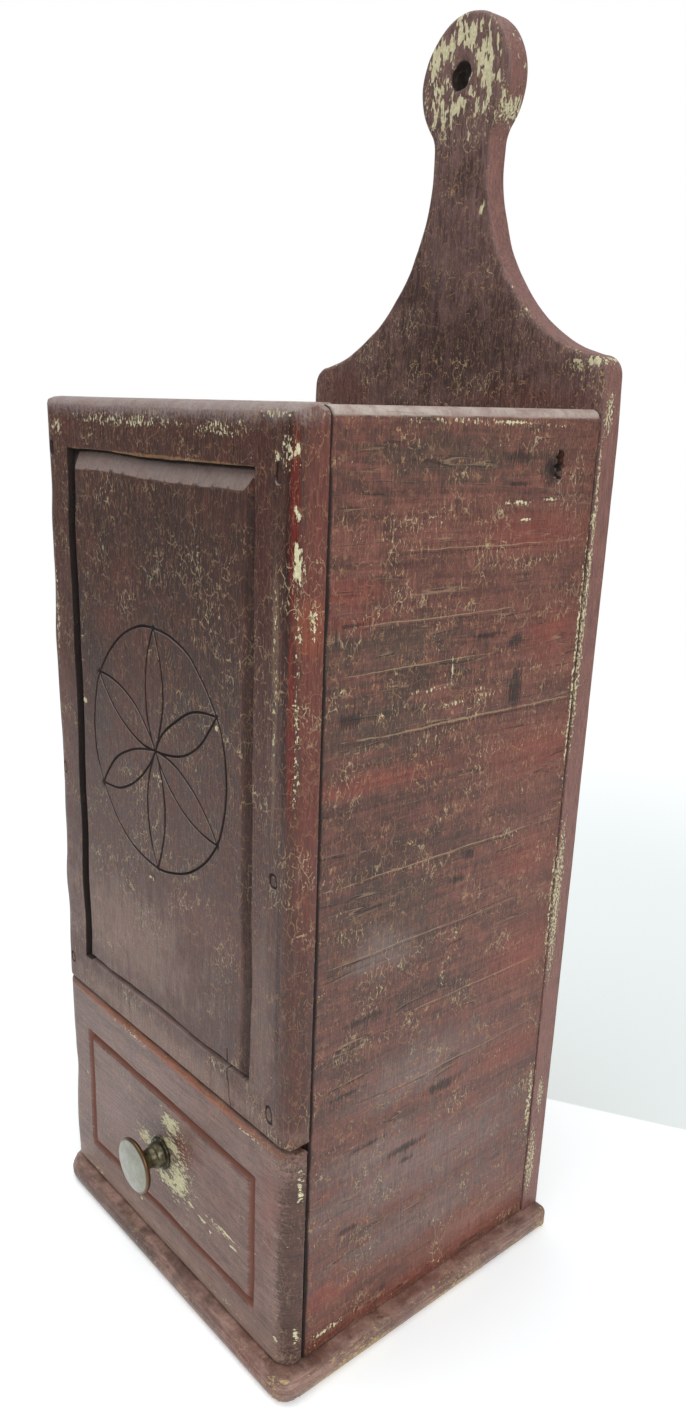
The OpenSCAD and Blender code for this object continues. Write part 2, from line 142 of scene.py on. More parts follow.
def fine_spans(outer, inner, margin, top_step=0.6):
    """Where the grid is close: the strips between two rectangles, along u and along v."""
    return [[(outer[i] - margin, inner[i] + margin, 0.6),
             (inner[i + 2] - margin, outer[i + 2] + margin, step)] for i, step in ((0, 0.6), (1, top_step))]


def mesh_grid(us, vs):
    return np.stack(np.meshgrid(us, vs, indexing="ij"), -1).reshape(-1, 2)


def arc(centre, r, start, turn, n):
    a = np.radians(np.linspace(start, start + turn, n + 1))
    return np.stack([centre[0] + r * np.cos(a), centre[1] + r * np.sin(a)], 1)


def soft_box(us, vs, radii):
    """The outline of a board through its grid's outer lines, with round corners, anticlockwise."""
    x0, x1, y0, y1 = us[0], us[-1], vs[0], vs[-1]
    low_left, low_right, top_right, top_left = radii

    def between(values, a, b):
        return values[(values > a + 0.05) & (values < b - 0.05)]

    def corner(x, y, r, start):
        return arc((x + r if x == x0 else x - r, y + r if y == y0 else y - r), r, start, 90, 6)

    bottom = between(us, x0 + low_left, x1 - low_right)
    right = between(vs, y0 + low_right, y1 - top_right)
    top = between(us, x0 + top_left, x1 - top_right)[::-1]
    left = between(vs, y0 + low_left, y1 - top_left)[::-1]
    return np.concatenate([corner(x0, y0, low_left, 180), [(x, y0) for x in bottom],
                           corner(x1, y0, low_right, -90), [(x1, y) for y in right],
                           corner(x1, y1, top_right, 0), [(x, y1) for x in top],
                           corner(x0, y1, top_left, 90), [(x0, y) for y in left]])


def inset(box, by):
    x0, y0, x1, y1 = box
    return x0 + by, y0 + by, x1 - by, y1 - by


def rect_lines(x0, y0, x1, y1, step=1.5):
    """The four sides of a rectangle as lines of points."""
    corners = [(x0, y0), (x1, y0), (x1, y1), (x0, y1)]
    return [np.linspace(a, b, max(1, round(math.dist(a, b) / step)) + 1)
            for a, b in zip(corners, corners[1:] + corners[:1])]


def inside(points, loops):
    """Which points lie inside the first loop and outside its holes."""
    x, y = points[:, 0], points[:, 1]
    crossed = np.zeros(len(points), bool)
    for loop in loops:
        for (x0, y0), (x1, y1) in zip(loop, np.roll(loop, -1, axis=0)):
            if y0 != y1:
                rows = (y0 > y) != (y1 > y)
                crossed ^= rows & (x < (x1 - x0) * (y - y0) / (y1 - y0) + x0)
    return crossed


def distance_to(points, lines):
    """Distance from each point to the nearest of the lines' points."""
    cloud = np.concatenate(lines)
    tree = KDTree(len(cloud))
    for i, p in enumerate(cloud):
        tree.insert((p[0], p[1], 0), i)
    tree.balance()
    return np.array([tree.find((p[0], p[1], 0))[2] for p in points])


def line_distance(u, v, line, closed=True):
    """Distance from points to the segments of a closed loop or of an open line."""
    out = np.full_like(u, 999.0)
    for a, b in zip(line, np.roll(line, -1, axis=0) if closed else line[1:]):
        ab = b - a
        t = np.clip(((u - a[0]) * ab[0] + (v - a[1]) * ab[1]) / (ab @ ab), 0, 1)
        out = np.minimum(out, np.hypot(u - a[0] - t * ab[0], v - a[1] - t * ab[1]))
    return out


def sheet(loops, lines, grid, clear):
    """Triangles inside the first loop and outside its holes, along the lines and through the grid."""
    grid = grid[inside(grid, loops)]
    grid = grid[distance_to(grid, [*loops, *lines]) > clear]
    points = []
    edges = []
    for chain, closed in [(loop, True) for loop in loops] + [(line, False) for line in lines]:
        first = len(points)
        points += [Vector(p) for p in chain]
        edges += [(first + i, first + i + 1) for i in range(len(chain) - 1)]
        if closed:
            edges.append((first + len(chain) - 1, first))
    points += [Vector(p) for p in grid]
    verts, _, faces, origins, _, _ = delaunay_2d_cdt(points, edges, [], 0, 1e-4)
    verts = np.array([tuple(v) for v in verts])
    faces = np.array([f for f in faces if len(f) == 3])
    keep = inside(verts[faces].mean(axis=1), loops)
    place = {i: new for new, olds in enumerate(origins) for i in olds}
    first = 0
    rims = []
    for loop in loops:
        rims.append(np.array([place[first + i] for i in range(len(loop))]))
        first += len(loop)
    a, b, c = (verts[faces[:, i]] for i in range(3))
    flipped = (b[:, 0] - a[:, 0]) * (c[:, 1] - a[:, 1]) < (b[:, 1] - a[:, 1]) * (c[:, 0] - a[:, 0])
    faces[flipped] = faces[flipped][:, ::-1]
    return verts, faces[keep], rims


def placed(name, data):
    """A new object in the scene."""
    obj = bpy.data.objects.new(name, data)
    bpy.context.scene.collection.objects.link(obj)
    return obj


def smooth_solid(name, points, faces, sharp):
    """A smooth mesh object from points in millimetres; edges over the sharp angle stay sharp."""
    mesh = bpy.data.meshes.new(name)
    mesh.from_pydata((np.array(points) * MM).tolist(), [], faces)
    mesh.shade_smooth()
    mesh.set_sharp_from_angle(angle=math.radians(sharp))
    mesh.update()
    return placed(name, mesh)


def board(node, axes, at, loops, thick, front, back, grids, lines=(), clear=0.42, warp=0.0, band_step=2.0):
    """A board as one closed mesh.

    axes are the directions of u, of v and out of the front face; front and back give depth, distance
    from the worn arris and the share of the groove colour at (u, v): grime and painted shade in the
    case's cuts and holes, red paint in the drawer's moulding."""
    f_uv, f_faces, f_rims = sheet(loops, lines, grids[0], clear)
    b_uv, b_faces, b_rims = sheet(loops, (), grids[1], clear)
    f_depth, f_arris, f_cut = front(f_uv[:, 0], f_uv[:, 1])
    b_depth, b_arris, b_cut = back(b_uv[:, 0], b_uv[:, 1])
    if warp:
        fade = np.clip(distance_to(f_uv, loops) / WARP_REACH, 0, 1)
        for k in range(2):
            f_uv[:, k] += warp * fade * flat_noise(f_uv[:, 0], f_uv[:, 1], 17, 40 + k, 2)
    uvw = [np.column_stack([f_uv, -f_depth]), np.column_stack([b_uv, b_depth - thick])]
    arris = [f_arris, b_arris]
    cut = [f_cut, b_cut]
    faces = [f_faces, b_faces[:, ::-1] + len(f_uv)]
    count = len(f_uv) + len(b_uv)
    for loop, f_rim, b_rim in zip(loops, f_rims, b_rims):
        top = -f_depth[f_rim]
        low = b_depth[b_rim] - thick
        rows = max(1, round(float((top - low).mean()) / band_step))
        rings = [f_rim]
        for k in range(1, rows):
            w = top + (low - top) * (k / rows)
            uvw.append(np.column_stack([f_uv[f_rim], w]))
            arris.append(np.minimum(f_arris[f_rim] + top - w, b_arris[b_rim] + w - low))
            # the walls of a hole get the full share of the groove colour: grime and painted shade inside the
            # hanging hole
            cut.append(np.full(len(loop), float(loop is not loops[0])))
            rings.append(np.arange(count, count + len(loop)))
            count += len(loop)
        rings.append(b_rim + len(f_uv))
        for a, b in zip(rings, rings[1:]):
            a1, b1 = np.roll(a, -1), np.roll(b, -1)
            faces += [np.stack([a, b, b1], 1), np.stack([a, b1, a1], 1)]
    points = np.array(at, float) + np.concatenate(uvw) @ np.array(axes, float)
    obj = smooth_solid(f"{node}_dressed", points, np.concatenate(faces).tolist(), 38)
    # the attribute cut holds that share of the groove colour, painted shade included
    for label, values in (("arris", arris), ("cut", cut)):
        data = obj.data.attributes.new(label, "FLOAT", "POINT")
        data.data.foreach_set("value", np.concatenate(values).astype(np.float32))
    return obj


def sides_of(u, v, box, radii):
    """Distance to each side of a box with that side's edge radius."""
    x0, y0, x1, y1 = box
    return list(zip((u - x0, v - y0, x1 - u, y1 - v), radii))


def rounded(sides):
    """Depth and arris distance on a face whose sides are (distance to the side, edge radius)."""
    depth = 0
    arris = 99.0
    for d, r in sides:
        turn = np.arccos(np.clip(1 - d / r, 0, 1))
        depth = depth + (r * (1 - np.sin(turn))) ** 2
        past = d - r + r * math.pi / 4
        arris = np.minimum(arris, np.where(d < r, r * abs(turn - math.pi / 4), past))
    return np.sqrt(depth), arris


def ditch(distance, half_width, depth):
    """A V-shaped cut at a distance from its middle line."""
    return depth * np.clip(1 - distance / half_width, 0, 1)


def dents(u, v, spots):
    """Shallow dents, each (u, v, half width, half height, depth)."""
    out = np.zeros_like(u)
    for su, sv, ru, rv, depth in spots:
        d = np.hypot((u - su) / ru, (v - sv) / rv)
        out = np.maximum(out, depth * np.clip(1.3 * (1 - d), 0, 1))
    return out


def hidden_face(box_at, radii, depth, size, seed, sign=1):
    """The relief of a board's hidden face, with worn edges and gentle waves.

    box_at gives the face's box at a place along it; sign is -1 where u runs the other way."""
    def relief(u, v):
        edge, arris = rounded(sides_of(sign * u, v, box_at(sign * u), radii))
        return edge + waves(u, v, (depth, size, seed)), arris, np.zeros_like(u)
    return relief


# front board: raised panel, compass rosette, sunk nails, a crack

FB_LO, FB_HI = size_of("front_board")
OPENING_Z = FB_LO[2]
RIM_Z = FB_HI[2]
FRONT_BOX = (-HALF_W, OPENING_Z, HALF_W, RIM_Z)
FRONT_EDGES = (6.5, 1.4, 6.2, RIM_ROUND)
PANEL = (-52.4, OPENING_Z + 14.0, 50.3, RIM_Z - 15.8)
# widths of the slopes round the panel
SLOPES = (4.6, 2.6, 5.2, 6.3)
FIELD = (PANEL[0] + SLOPES[0], PANEL[1] + SLOPES[1], PANEL[2] - SLOPES[2], PANEL[3] - SLOPES[3])
PANEL_CUT = 2.6
WALL_W = 0.3
ROSE = (-1.1, OPENING_Z + 106.5)
ROSE_R = 38.9
# half widths of a scribed line and of the dirt in it
SCRIBE = 0.52
SCRIBE_DIRT = 0.28
NAIL_R, NAIL_L = 60.2, -63.5
NAIL_ZS = (RIM_Z - 16.5, OPENING_Z + 8.7 + 0.41 * (RIM_Z - 25.2 - OPENING_Z), OPENING_Z + 8.7)
# each nail's mark: x, z, half width, half height, depth, and the share of it that paint has filled
NAIL_MARKS = [(NAIL_R, NAIL_ZS[0], 1.5, 2.8, 1.1, 0.0), (NAIL_R, NAIL_ZS[1], 1.9, 2.5, 0.6, 0.8),
              (NAIL_R, NAIL_ZS[2], 1.7, 3.3, 0.55, 0.9), (NAIL_L, NAIL_ZS[0], 1.6, 2.6, 0.7, 0.4),
              (NAIL_L, NAIL_ZS[1], 1.6, 2.3, 0.5, 0.85), (NAIL_L, NAIL_ZS[2], 1.6, 2.4, 0.5, 0.8)]
CRACK = np.array([(38.4, 109.5), (38.9, 105), (38.6, 101.5), (39.6, 97), (39.5, 93.5), (40.3, 90.6)])
FRONT_NICKS = [(64.5, 268, 2.2, 6, 0.5), (65.2, 255, 1.6, 4, 0.4), (-66, 240, 2, 9, 0.4),
               (63.5, 128, 1.6, 3, 0.35), (20, 300, 7, 2, 0.35), (-30, 299.5, 9, 1.6, 0.3),
               (-4, 153.6, 1.6, 0.8, 0.3), (44, 92.6, 5, 1.2, 0.3)]


def rose_arcs():
    """The circle and the six petal arcs as (centre, start angle, turn)."""
    out = [(np.array(ROSE), 0.0, 360.0)]
    for i in range(6):
        a = math.radians(30 + 60 * i)
        centre = np.array(ROSE) + ROSE_R * np.array([math.cos(a), math.sin(a)])
        out.append((centre, 30 + 60 * i + 120, 120.0))
    return out


def rose_cut(u, v):
    """Depth of the scribed lines, and how far the dirt in them covers."""
    cut = np.zeros_like(u)
    filled = np.zeros_like(u)
    in_circle = np.hypot(u - ROSE[0], v - ROSE[1]) < ROSE_R + 0.6
    for i, (centre, _, turn) in enumerate(rose_arcs()):
        d = abs(np.hypot(u - centre[0], v - centre[1]) - ROSE_R)
        here = in_circle if turn < 360 else 1
        worn = 0.75 + 0.25 * flat_noise(u, v, 9, 60 + i)
        cut = np.maximum(cut, ditch(d, SCRIBE, 0.85 * worn) * here)
        filled = np.maximum(filled, np.clip((SCRIBE - d) / (SCRIBE - SCRIBE_DIRT), 0, 1) * here)
    return cut, filled


def front_relief(u, v):
    """The carved face, whose nails are sunk and partly filled with paint."""
    wave = 1 + 0.22 * flat_noise(u, v, 26, 3, 2)
    depth, arris = rounded(sides_of(u, v, FRONT_BOX, [r * wave for r in FRONT_EDGES[:3]] + [RIM_ROUND]))
    from_side = [d for d, _ in sides_of(u, v, PANEL, SLOPES)]
    inner = np.minimum.reduce(from_side)
    bevel = np.clip(1 - np.minimum.reduce([d / w for d, w in zip(from_side, SLOPES)]), 0, 1)
    cut = np.where(inner > 0, PANEL_CUT * bevel * np.clip(inner / WALL_W, 0, 1), 0)
    rose, rose_dirt = rose_cut(u, v)
    split = ditch(line_distance(u, v, CRACK, False), 0.3, 1.0)
    pits = np.zeros_like(u)
    for x, z, w, h, deep, filled in NAIL_MARKS:
        q = ((abs(u - x) / w) ** 3 + (abs(v - z) / h) ** 3) ** (1 / 3)
        plug = deep * filled * np.clip((0.75 - q) * w / 0.35, 0, 1)
        pits = np.maximum(pits, deep * np.clip((1 - q) * w / 0.3, 0, 1) - plug)
    rough = waves(u, v, (0.07, (5, 24), 8, 2), (0.05, 60, 9))
    # the field's upper and lower edges are worn too
    across = (u > FIELD[0]) & (u < FIELD[2])
    field_edge = 0.5 + np.minimum(abs(v - FIELD[3]), 0.3 + abs(v - FIELD[1]))
    arris = np.where(across, np.minimum(arris, field_edge), arris)
    # the cut round the panel is darkened, most of it along the upright slopes: painted shade in its deep
    # corner and on the left slope, grime and painted shade on the right slope; the nail pits get painted
    # shade too
    dirt_and_shade = np.clip(cut - 1.5, 0, 1) * np.clip(1.6 - inner, 0, 1) * (v > FIELD[1])
    ragged = 0.5 * flat_noise(u, v, (3, 14), 12, 2)
    left_slope_shade = np.clip((4.5 + ragged - from_side[0]) / 1.4, 0, 1) * (inner > -0.4) * (u < 0)
    right_slope_grime_and_shade = 0.42 * np.clip((5.4 + ragged - from_side[2]) / 1.2, 0, 1) * (inner > 0) * (u > 0)
    right_slope_grime_and_shade *= v < FIELD[3]
    dirt_and_shade = np.maximum.reduce([dirt_and_shade, left_slope_shade, right_slope_grime_and_shade, rose_dirt, 1.5 * split,
                              np.clip(2 * pits, 0, 1)])
    return depth + cut + rose + split + pits + dents(u, v, FRONT_NICKS) + rough, arris, dirt_and_shade


def front_board():
    us, vs = grid_lines(FRONT_BOX, FRONT_EDGES, (1.25, 1.25), fine_spans(PANEL, FIELD, 1.2, 0.8))
    loop = soft_box(us, vs, (1.2, 3.0, 2.0, 8.5))
    lines = rect_lines(*PANEL) + rect_lines(*inset(PANEL, WALL_W)) + rect_lines(*FIELD)
    for a, b in ((0, 1), (2, 1), (2, 3), (0, 3)):
        lines.append(np.linspace((PANEL[a], PANEL[b]), (FIELD[a], FIELD[b]), 5))
    for centre, start, turn in rose_arcs():
        for grow in (-SCRIBE, -SCRIBE_DIRT, 0, SCRIBE_DIRT, SCRIBE):
            r = ROSE_R + grow
            lines.append(arc(centre, r, start, turn, round(math.radians(turn) * r / 0.9)))
    a = np.linspace(0, 2 * math.pi, 21)
    ring = np.stack([np.sign(t) * abs(t) ** 0.67 for t in (np.cos(a), np.sin(a))], 1)
    for x, z, w, h, _, _ in NAIL_MARKS:
        for share in (1.05, 0.82, 0.55):
            lines.append((x, z) + ring * (w * share, h * share))
    for shift in (-0.3, 0, 0.3):
        lines.append(CRACK + (shift, 0.02))
    hidden = mesh_grid(*grid_lines(FRONT_BOX, (0.6, 1.4, 0.6, RIM_ROUND), (5, 6)))
    return board("front_board", FACING_FRONT, (0, FRONT_Y, 0), [loop], FB_HI[1] - FB_LO[1], front_relief,
                 hidden_face(lambda u: FRONT_BOX, (0.4, 1.0, 0.4, RIM_ROUND), 0.12, (9, 40), 11),
                 (mesh_grid(us, vs), hidden), lines, warp=0.6)


# drawer front: V-cut moulding

DF_LO, DF_HI = size_of("drawer_front")
DRAWER_BOX = (-HALF_W, DF_LO[2], HALF_W, DF_HI[2])
DRAWER_EDGES = (6.4, 1.5, 6.0, 2.3)
MOULD = (-HALF_W + 16.2, DF_LO[2] + 12.5, HALF_W - 16.2, DF_HI[2] - 16.0)
MOULD_W = 3.8
MOULD_CUT = 2.0
DRAWER_NICKS = [(-47, 60, 4, 3, 0.15), (30, 36, 6, 0.8, 0.25), (66, 30, 2, 8, 0.35),
                (15, 39, 3, 2, 0.15), (-65.5, 50, 2, 8, 0.3)]


def drawer_relief(u, v):
    wave = 1 + 0.2 * flat_noise(u, v, 24, 13, 2)
    depth, arris = rounded(sides_of(u, v, DRAWER_BOX, [r * wave for r in DRAWER_EDGES]))
    inner = np.minimum.reduce([d for d, _ in sides_of(u, v, MOULD, MOULD)])
    cut = ditch(abs(inner - MOULD_W / 2), MOULD_W / 2, MOULD_CUT)
    cut *= 0.93 + 0.12 * flat_noise(u, v, 14, 17)
    rough = waves(u, v, (0.06, (24, 6), 18, 2), (0.05, 50, 19))
    return depth + cut + dents(u, v, DRAWER_NICKS) + rough, arris, np.clip(cut / 1.2, 0, 1)


def drawer_front():
    fine = fine_spans(MOULD, inset(MOULD, MOULD_W), 1)
    us, vs = grid_lines(DRAWER_BOX, DRAWER_EDGES, (1.1, 1.1), fine)
    lines = []
    for grow in (0, MOULD_W / 2, MOULD_W):
        lines += rect_lines(*inset(MOULD, grow), 1.2)
    hidden = mesh_grid(*grid_lines(DRAWER_BOX, (0.6, 0.6, 0.6, 1.2), (4, 4)))
    return board("drawer_front", FACING_FRONT, (0, FRONT_Y, 0), [soft_box(us, vs, (1.4, 1.8, 1.6, 1.6))],
                 DF_HI[1] - DF_LO[1], drawer_relief,
                 hidden_face(lambda u: DRAWER_BOX, (0.4, 0.5, 0.4, 1.0), 0.12, (9, 40), 21),
                 (mesh_grid(us, vs), hidden), lines, warp=0.4)


# side boards

SB_LO, SB_HI = size_of("right_side")
SIDE_BOX = (*SB_LO[1:], *SB_HI[1:])
SIDE_EDGES = (0.55, 0.5, 0.6, RIM_ROUND)
SIDE_HIDDEN_EDGES = (0.4, 0.4, 0.4, RIM_ROUND)
SIDE_T = 12.5
WELL_HALF_W = HALF_W - SIDE_T
# height of the step that the saw left across the boards
SAW_STEP_Z = 215.2
RISE = (SB_HI[2] - RIM_Z) / (SB_HI[1] - SB_LO[1])
# the old nail hole: y, z, half width, half height
OLD_HOLE = (35.6, RIM_Z - 14.1, 1.4, 4.2)


def side_box(y):
    """A side board's box at y, whose top follows the rising rim."""
    return *SIDE_BOX[:3], RIM_Z + RISE * (y - SB_LO[1])


def side_relief(sign):
    """The outer face of a side board: saw marks across it, knocks, and on the right the old hole."""
    def relief(u, v):
        y = sign * u
        from_front, to_back = y - SB_LO[1], SB_HI[1] - y
        wave = 1 + 0.25 * flat_noise(u, v, 22, 24 if sign > 0 else 23, 2)
        # the rim's rounding grows towards the worn front left corner
        worn = np.clip(1 - from_front / 22, 0, 1) ** 2
        radii = [r * wave for r in SIDE_EDGES[:3]] + [RIM_ROUND + 5.0 * worn * (sign < 0)]
        sides = sides_of(y, v, side_box(y), radii)
        seam_w = 0.62 + 0.2 * flat_noise(u, v, 12, 34, 2)
        seam = np.maximum(np.clip(1.5 - from_front / seam_w, 0, 1),
                          np.clip(1.2 - to_back / (0.7 * seam_w), 0, 1))
        rough = waves(u, v, (0.06, (60, 2.6), 25, 2), (0.08, (80, 9), 26), (0.08, (6, 12), 28, 2),
                      (0.2, 70, 29))
        step = v - SAW_STEP_Z + 0.012 * (y + 48) + 0.35 * flat_noise(u, v, (9, 60), 27)
        ridge = 0.28 * np.clip(1 - abs(step) / 0.9, 0, 1) * np.clip((58 - y) / 20, 0, 1)
        nicks = dents(y, v, [(-42, 301, 6, 1.6, 0.35), (18, 302, 8, 1.5, 0.3), (-49, 246, 1.2, 3, 0.45),
                             (-44, 247.6, 6, 0.7, 0.4), (-36, 51, 5, 0.8, 0.3), (3, 163, 4, 1.2, 0.3)])
        hole = np.zeros_like(u)
        if sign > 0:
            out = np.maximum(abs(y - OLD_HOLE[0]) - OLD_HOLE[2], abs(v - OLD_HOLE[1]) - OLD_HOLE[3])
            out += 0.35 * flat_noise(u, v, 1.6, 33, 2)
            hole = np.maximum(6.0 * np.clip(-out / 0.35, 0, 1),
                              dents(u, v, [(32.6, OLD_HOLE[1] - 0.5, 3.6, 5.2, 0.5)]))
        # the old hole's pocket and the dent beside it are darkened: painted shade; the seams are dark joints
        # and the knocks get grime
        dirt_and_shade = np.maximum(np.clip(1.2 * hole, 0, 1) + 0.4 * nicks, seam)
        return rounded(sides)[0] + rough + ridge + nicks + hole, rounded(sides[2:])[1], dirt_and_shade
    return relief


def side_board(node, side):
    """side is 1 for the right board and -1 for the left; u runs to the back or to the front."""
    def tilted(grid):
        """Shears the grid so that its top follows the rising rim."""
        share = (grid[:, 1] - SB_LO[2]) / (SB_HI[2] - SB_LO[2])
        grid[:, 1] = SB_LO[2] + share * (side_box(grid[:, 0])[3] - SB_LO[2])
        return grid

    us, vs = grid_lines(SIDE_BOX, SIDE_EDGES, (1.15, 1.15))
    loop = tilted(soft_box(us, vs, (0.3, 0.3, 0.6, 0.6)))
    front = tilted(mesh_grid(us, vs))
    back = tilted(mesh_grid(*grid_lines(SIDE_BOX, SIDE_HIDDEN_EDGES, (4, 5))))
    lines = []
    if side > 0:
        y, z, w, h = OLD_HOLE
        for grow in (0, -0.35):
            lines += rect_lines(y - w - grow, z - h - grow, y + w + grow, z + h + grow, 0.8)
    if side < 0:
        loop, front, back = (g * (-1, 1) for g in (loop[::-1], front, back))
    return board(node, ((0, side, 0), (0, 0, 1), (side, 0, 0)), (side * HALF_W, 0, 0), [loop], SIDE_T,
                 side_relief(side), hidden_face(side_box, SIDE_HIDDEN_EDGES, 0.1, (8, 40), 31, side),
                 (front, back), lines)


# back board: shoulders, sweeps and round finial with its hanging hole

BB_LO, BB_HI = size_of("back_board")
FINIAL_R = 19.9
FINIAL = (2.2, BB_HI[2] - FINIAL_R)
HALF_NECK = 12.8
# radius of the hollows between the neck and the finial
HOLLOW = 8.0
# the shoulders' heights, left lower than right
SHOULDER = {1: BB_HI[2] - 102.5, -1: BB_HI[2] - 106.0}
SHOULDER_ROUND = 6.5
SHOULDER_X = HALF_W - SHOULDER_ROUND
SWEEP_LEAD = 14.0
HOLE = (0.4, BB_HI[2] - 17.8)
HOLE_R = 4.4
BACK_NICKS = [(66, 317, 4, 3, 0.5), (20, 395, 2, 6, 0.5), (14, 366, 2.5, 3, 0.3),
              (-9, 402, 3, 8, 0.18), (13, 409, 3, 6, 0.18), (-3, 398, 6, 3, 0.18)]


def sweep(side):
    """Centre and radius of one sweep's arc, and the angle at which it meets the shoulder."""
    x = side * (SHOULDER_X + SWEEP_LEAD)
    r = abs(x - FINIAL[0]) - HALF_NECK
    z = SHOULDER[side] + math.sqrt(r * r - SWEEP_LEAD**2)
    return (x, z), r, math.degrees(math.atan2(SHOULDER[side] - z, side * SHOULDER_X - x))


def back_outline():
    """The sawn outline, anticlockwise from the lower left corner, and its inward directions."""
    def run(a, b, step=1.6):
        n = max(2, round(math.dist(a, b) / step))
        return np.linspace(a, b, n, endpoint=False)

    right, right_r, right_low = sweep(1)
    left, left_r, left_low = sweep(-1)
    across = HALF_NECK + HOLLOW
    climb = math.sqrt((FINIAL_R + HOLLOW)**2 - across**2)
    turn = math.degrees(math.atan2(climb, across))
    hollow_z = FINIAL[1] - climb
    floor_z = BB_LO[2]
    corner = SHOULDER_ROUND
    loop = np.concatenate([
        run((-HALF_W, floor_z), (HALF_W, floor_z)),
        run((HALF_W, floor_z), (HALF_W, SHOULDER[1] - corner)),
        arc((SHOULDER_X, SHOULDER[1] - corner), corner, 0, 90, 8)[:-1],
        arc(right, right_r, right_low % 360, 180 - right_low % 360, 50)[:-1],
        run((FINIAL[0] + HALF_NECK, right[1]), (FINIAL[0] + HALF_NECK, hollow_z)),
        arc((FINIAL[0] + across, hollow_z), HOLLOW, 180, -turn, 6)[:-1],
        arc(FINIAL, FINIAL_R, -turn, 180 + 2 * turn, 64)[:-1],
        arc((FINIAL[0] - across, hollow_z), HOLLOW, turn, -turn, 6),
        run((FINIAL[0] - HALF_NECK, hollow_z), (FINIAL[0] - HALF_NECK, left[1]))[1:],
        arc(left, left_r, 0, left_low, 50)[:-1],
        arc((-SHOULDER_X, SHOULDER[-1] - corner), corner, 90, 90, 8)[:-1],
        run((-HALF_W, SHOULDER[-1] - corner), (-HALF_W, floor_z)),
    ])
    along = np.roll(loop, -1, 0) - np.roll(loop, 1, 0)
    along /= np.hypot(*along.T)[:, None]
    inward = np.stack([-along[:, 1], along[:, 0]], 1)
    wobble = 0.12 + 0.25 * flat_noise(loop[:, 0], loop[:, 1], 11, 51, 2)
    wobble *= np.clip((loop[:, 1] - SHOULDER[-1] + 12) / 12, 0, 1)
    return loop + inward * np.clip(wobble, 0, 0.5)[:, None], inward


def back_relief(loop, nicks):
    """A face of the back board, worn along the outline and round the hole."""
    def relief(u, v):
        low = np.clip((v - SHOULDER[-1] + 20) / 12, 0, 1)
        r = 0.5 + low * (1.15 + 0.45 * flat_noise(u, v, 15, 52, 2))
        depth, arris = rounded([(line_distance(u, v, loop), r)])
        d_hole = abs(np.hypot(u - HOLE[0], v - HOLE[1]) - HOLE_R)
        mouth = np.clip(1 - d_hole / 0.7, 0, 1) ** 2 * 0.45
        rough = waves(u, v, (0.10, (3.5, 12), 53, 2), (0.12, 55, 54))
        # the third value darkens the hole's mouth: painted shade
        return (depth + mouth + rough + dents(u, v, nicks), np.minimum(arris, d_hole + 0.6),
                np.clip(0.3 - d_hole, 0, 1))
    return relief


def back_board():
    loop, inward = back_outline()
    hole = arc(HOLE, HOLE_R, 0, 360, 30)[:-1]
    spin = np.arctan2(hole[:, 1] - HOLE[1], hole[:, 0] - HOLE[0])
    hole = np.array(HOLE) + (hole - HOLE) * (1 + 0.05 * np.sin(2 * spin + 0.6)
                                             + 0.03 * np.sin(5 * spin))[:, None]
    # the grid is close above the rim, where the board shows, and wide below it
    high = mesh_grid(np.arange(-70, 70.1, 1.25), np.arange(296, 423, 1.25))
    low = mesh_grid(np.arange(-69, 70, 4), np.arange(10, 295, 5))
    grid = np.concatenate([high, low])
    grid = grid[line_distance(grid[:, 0], grid[:, 1], loop) > 2.1]
    rings = [loop + inward * 1.5 * (1 - math.cos(math.radians(turn))) for turn in (25, 50, 70, 90)]
    grid = np.concatenate([grid, *rings])
    return board("back_board", FACING_FRONT, (0, BB_LO[1], 0), [loop, hole], BB_HI[1] - BB_LO[1],
                 back_relief(loop, BACK_NICKS), back_relief(loop, ()), (grid, grid), (), 0.12,
                 band_step=1.5)


# base board

BASE_LO, BASE_HI = size_of("base_board")
# the front left corner is the most worn
BASE_CORNERS = (12, 6.5, 3.4, 3.4)


def base_board():
    us, vs = grid_lines((*BASE_LO[:2], *BASE_HI[:2]), (3.5, 3.5, 3.5, 0.6), (2, 2))
    loop = soft_box(us, vs, BASE_CORNERS)

    def relief(seed, r, worn):
        def face(u, v):
            wave = 1 + 0.15 * flat_noise(u, v, 16, seed, 2) * worn
            at_back = np.clip((BASE_HI[1] - v) / 4, 0, 1)
            depth, arris = rounded([(line_distance(u, v, loop), 0.6 + (r * wave - 0.6) * at_back)])
            return depth + waves(u, v, (0.07, (22, 5), seed + 1, 2)) * worn, arris, 0 * u
        return face

    grid = mesh_grid(us, vs)
    return board("base_board", ((1, 0, 0), (0, 1, 0), (0, 0, 1)), (0, 0, BASE_HI[2]), [loop],
                 BASE_HI[2] - BASE_LO[2], relief(71, 3.3, True), relief(75, 3.5, False), (grid, grid),
                 (), 0.3, band_step=0.4)


# knob

KNOB_LO, KNOB_HI = size_of("drawer_knob")
KNOB_R = 9.9
KNOB_X = (KNOB_LO[0] + KNOB_HI[0]) / 2
KNOB_Z = (KNOB_LO[2] + KNOB_HI[2]) / 2
# how far the knob stands out of the drawer front, its disc's domed height and its edge's radius
KNOB_OUT = FRONT_Y - KNOB_LO[1]
KNOB_DOME = 1.3
KNOB_EDGE = 0.9


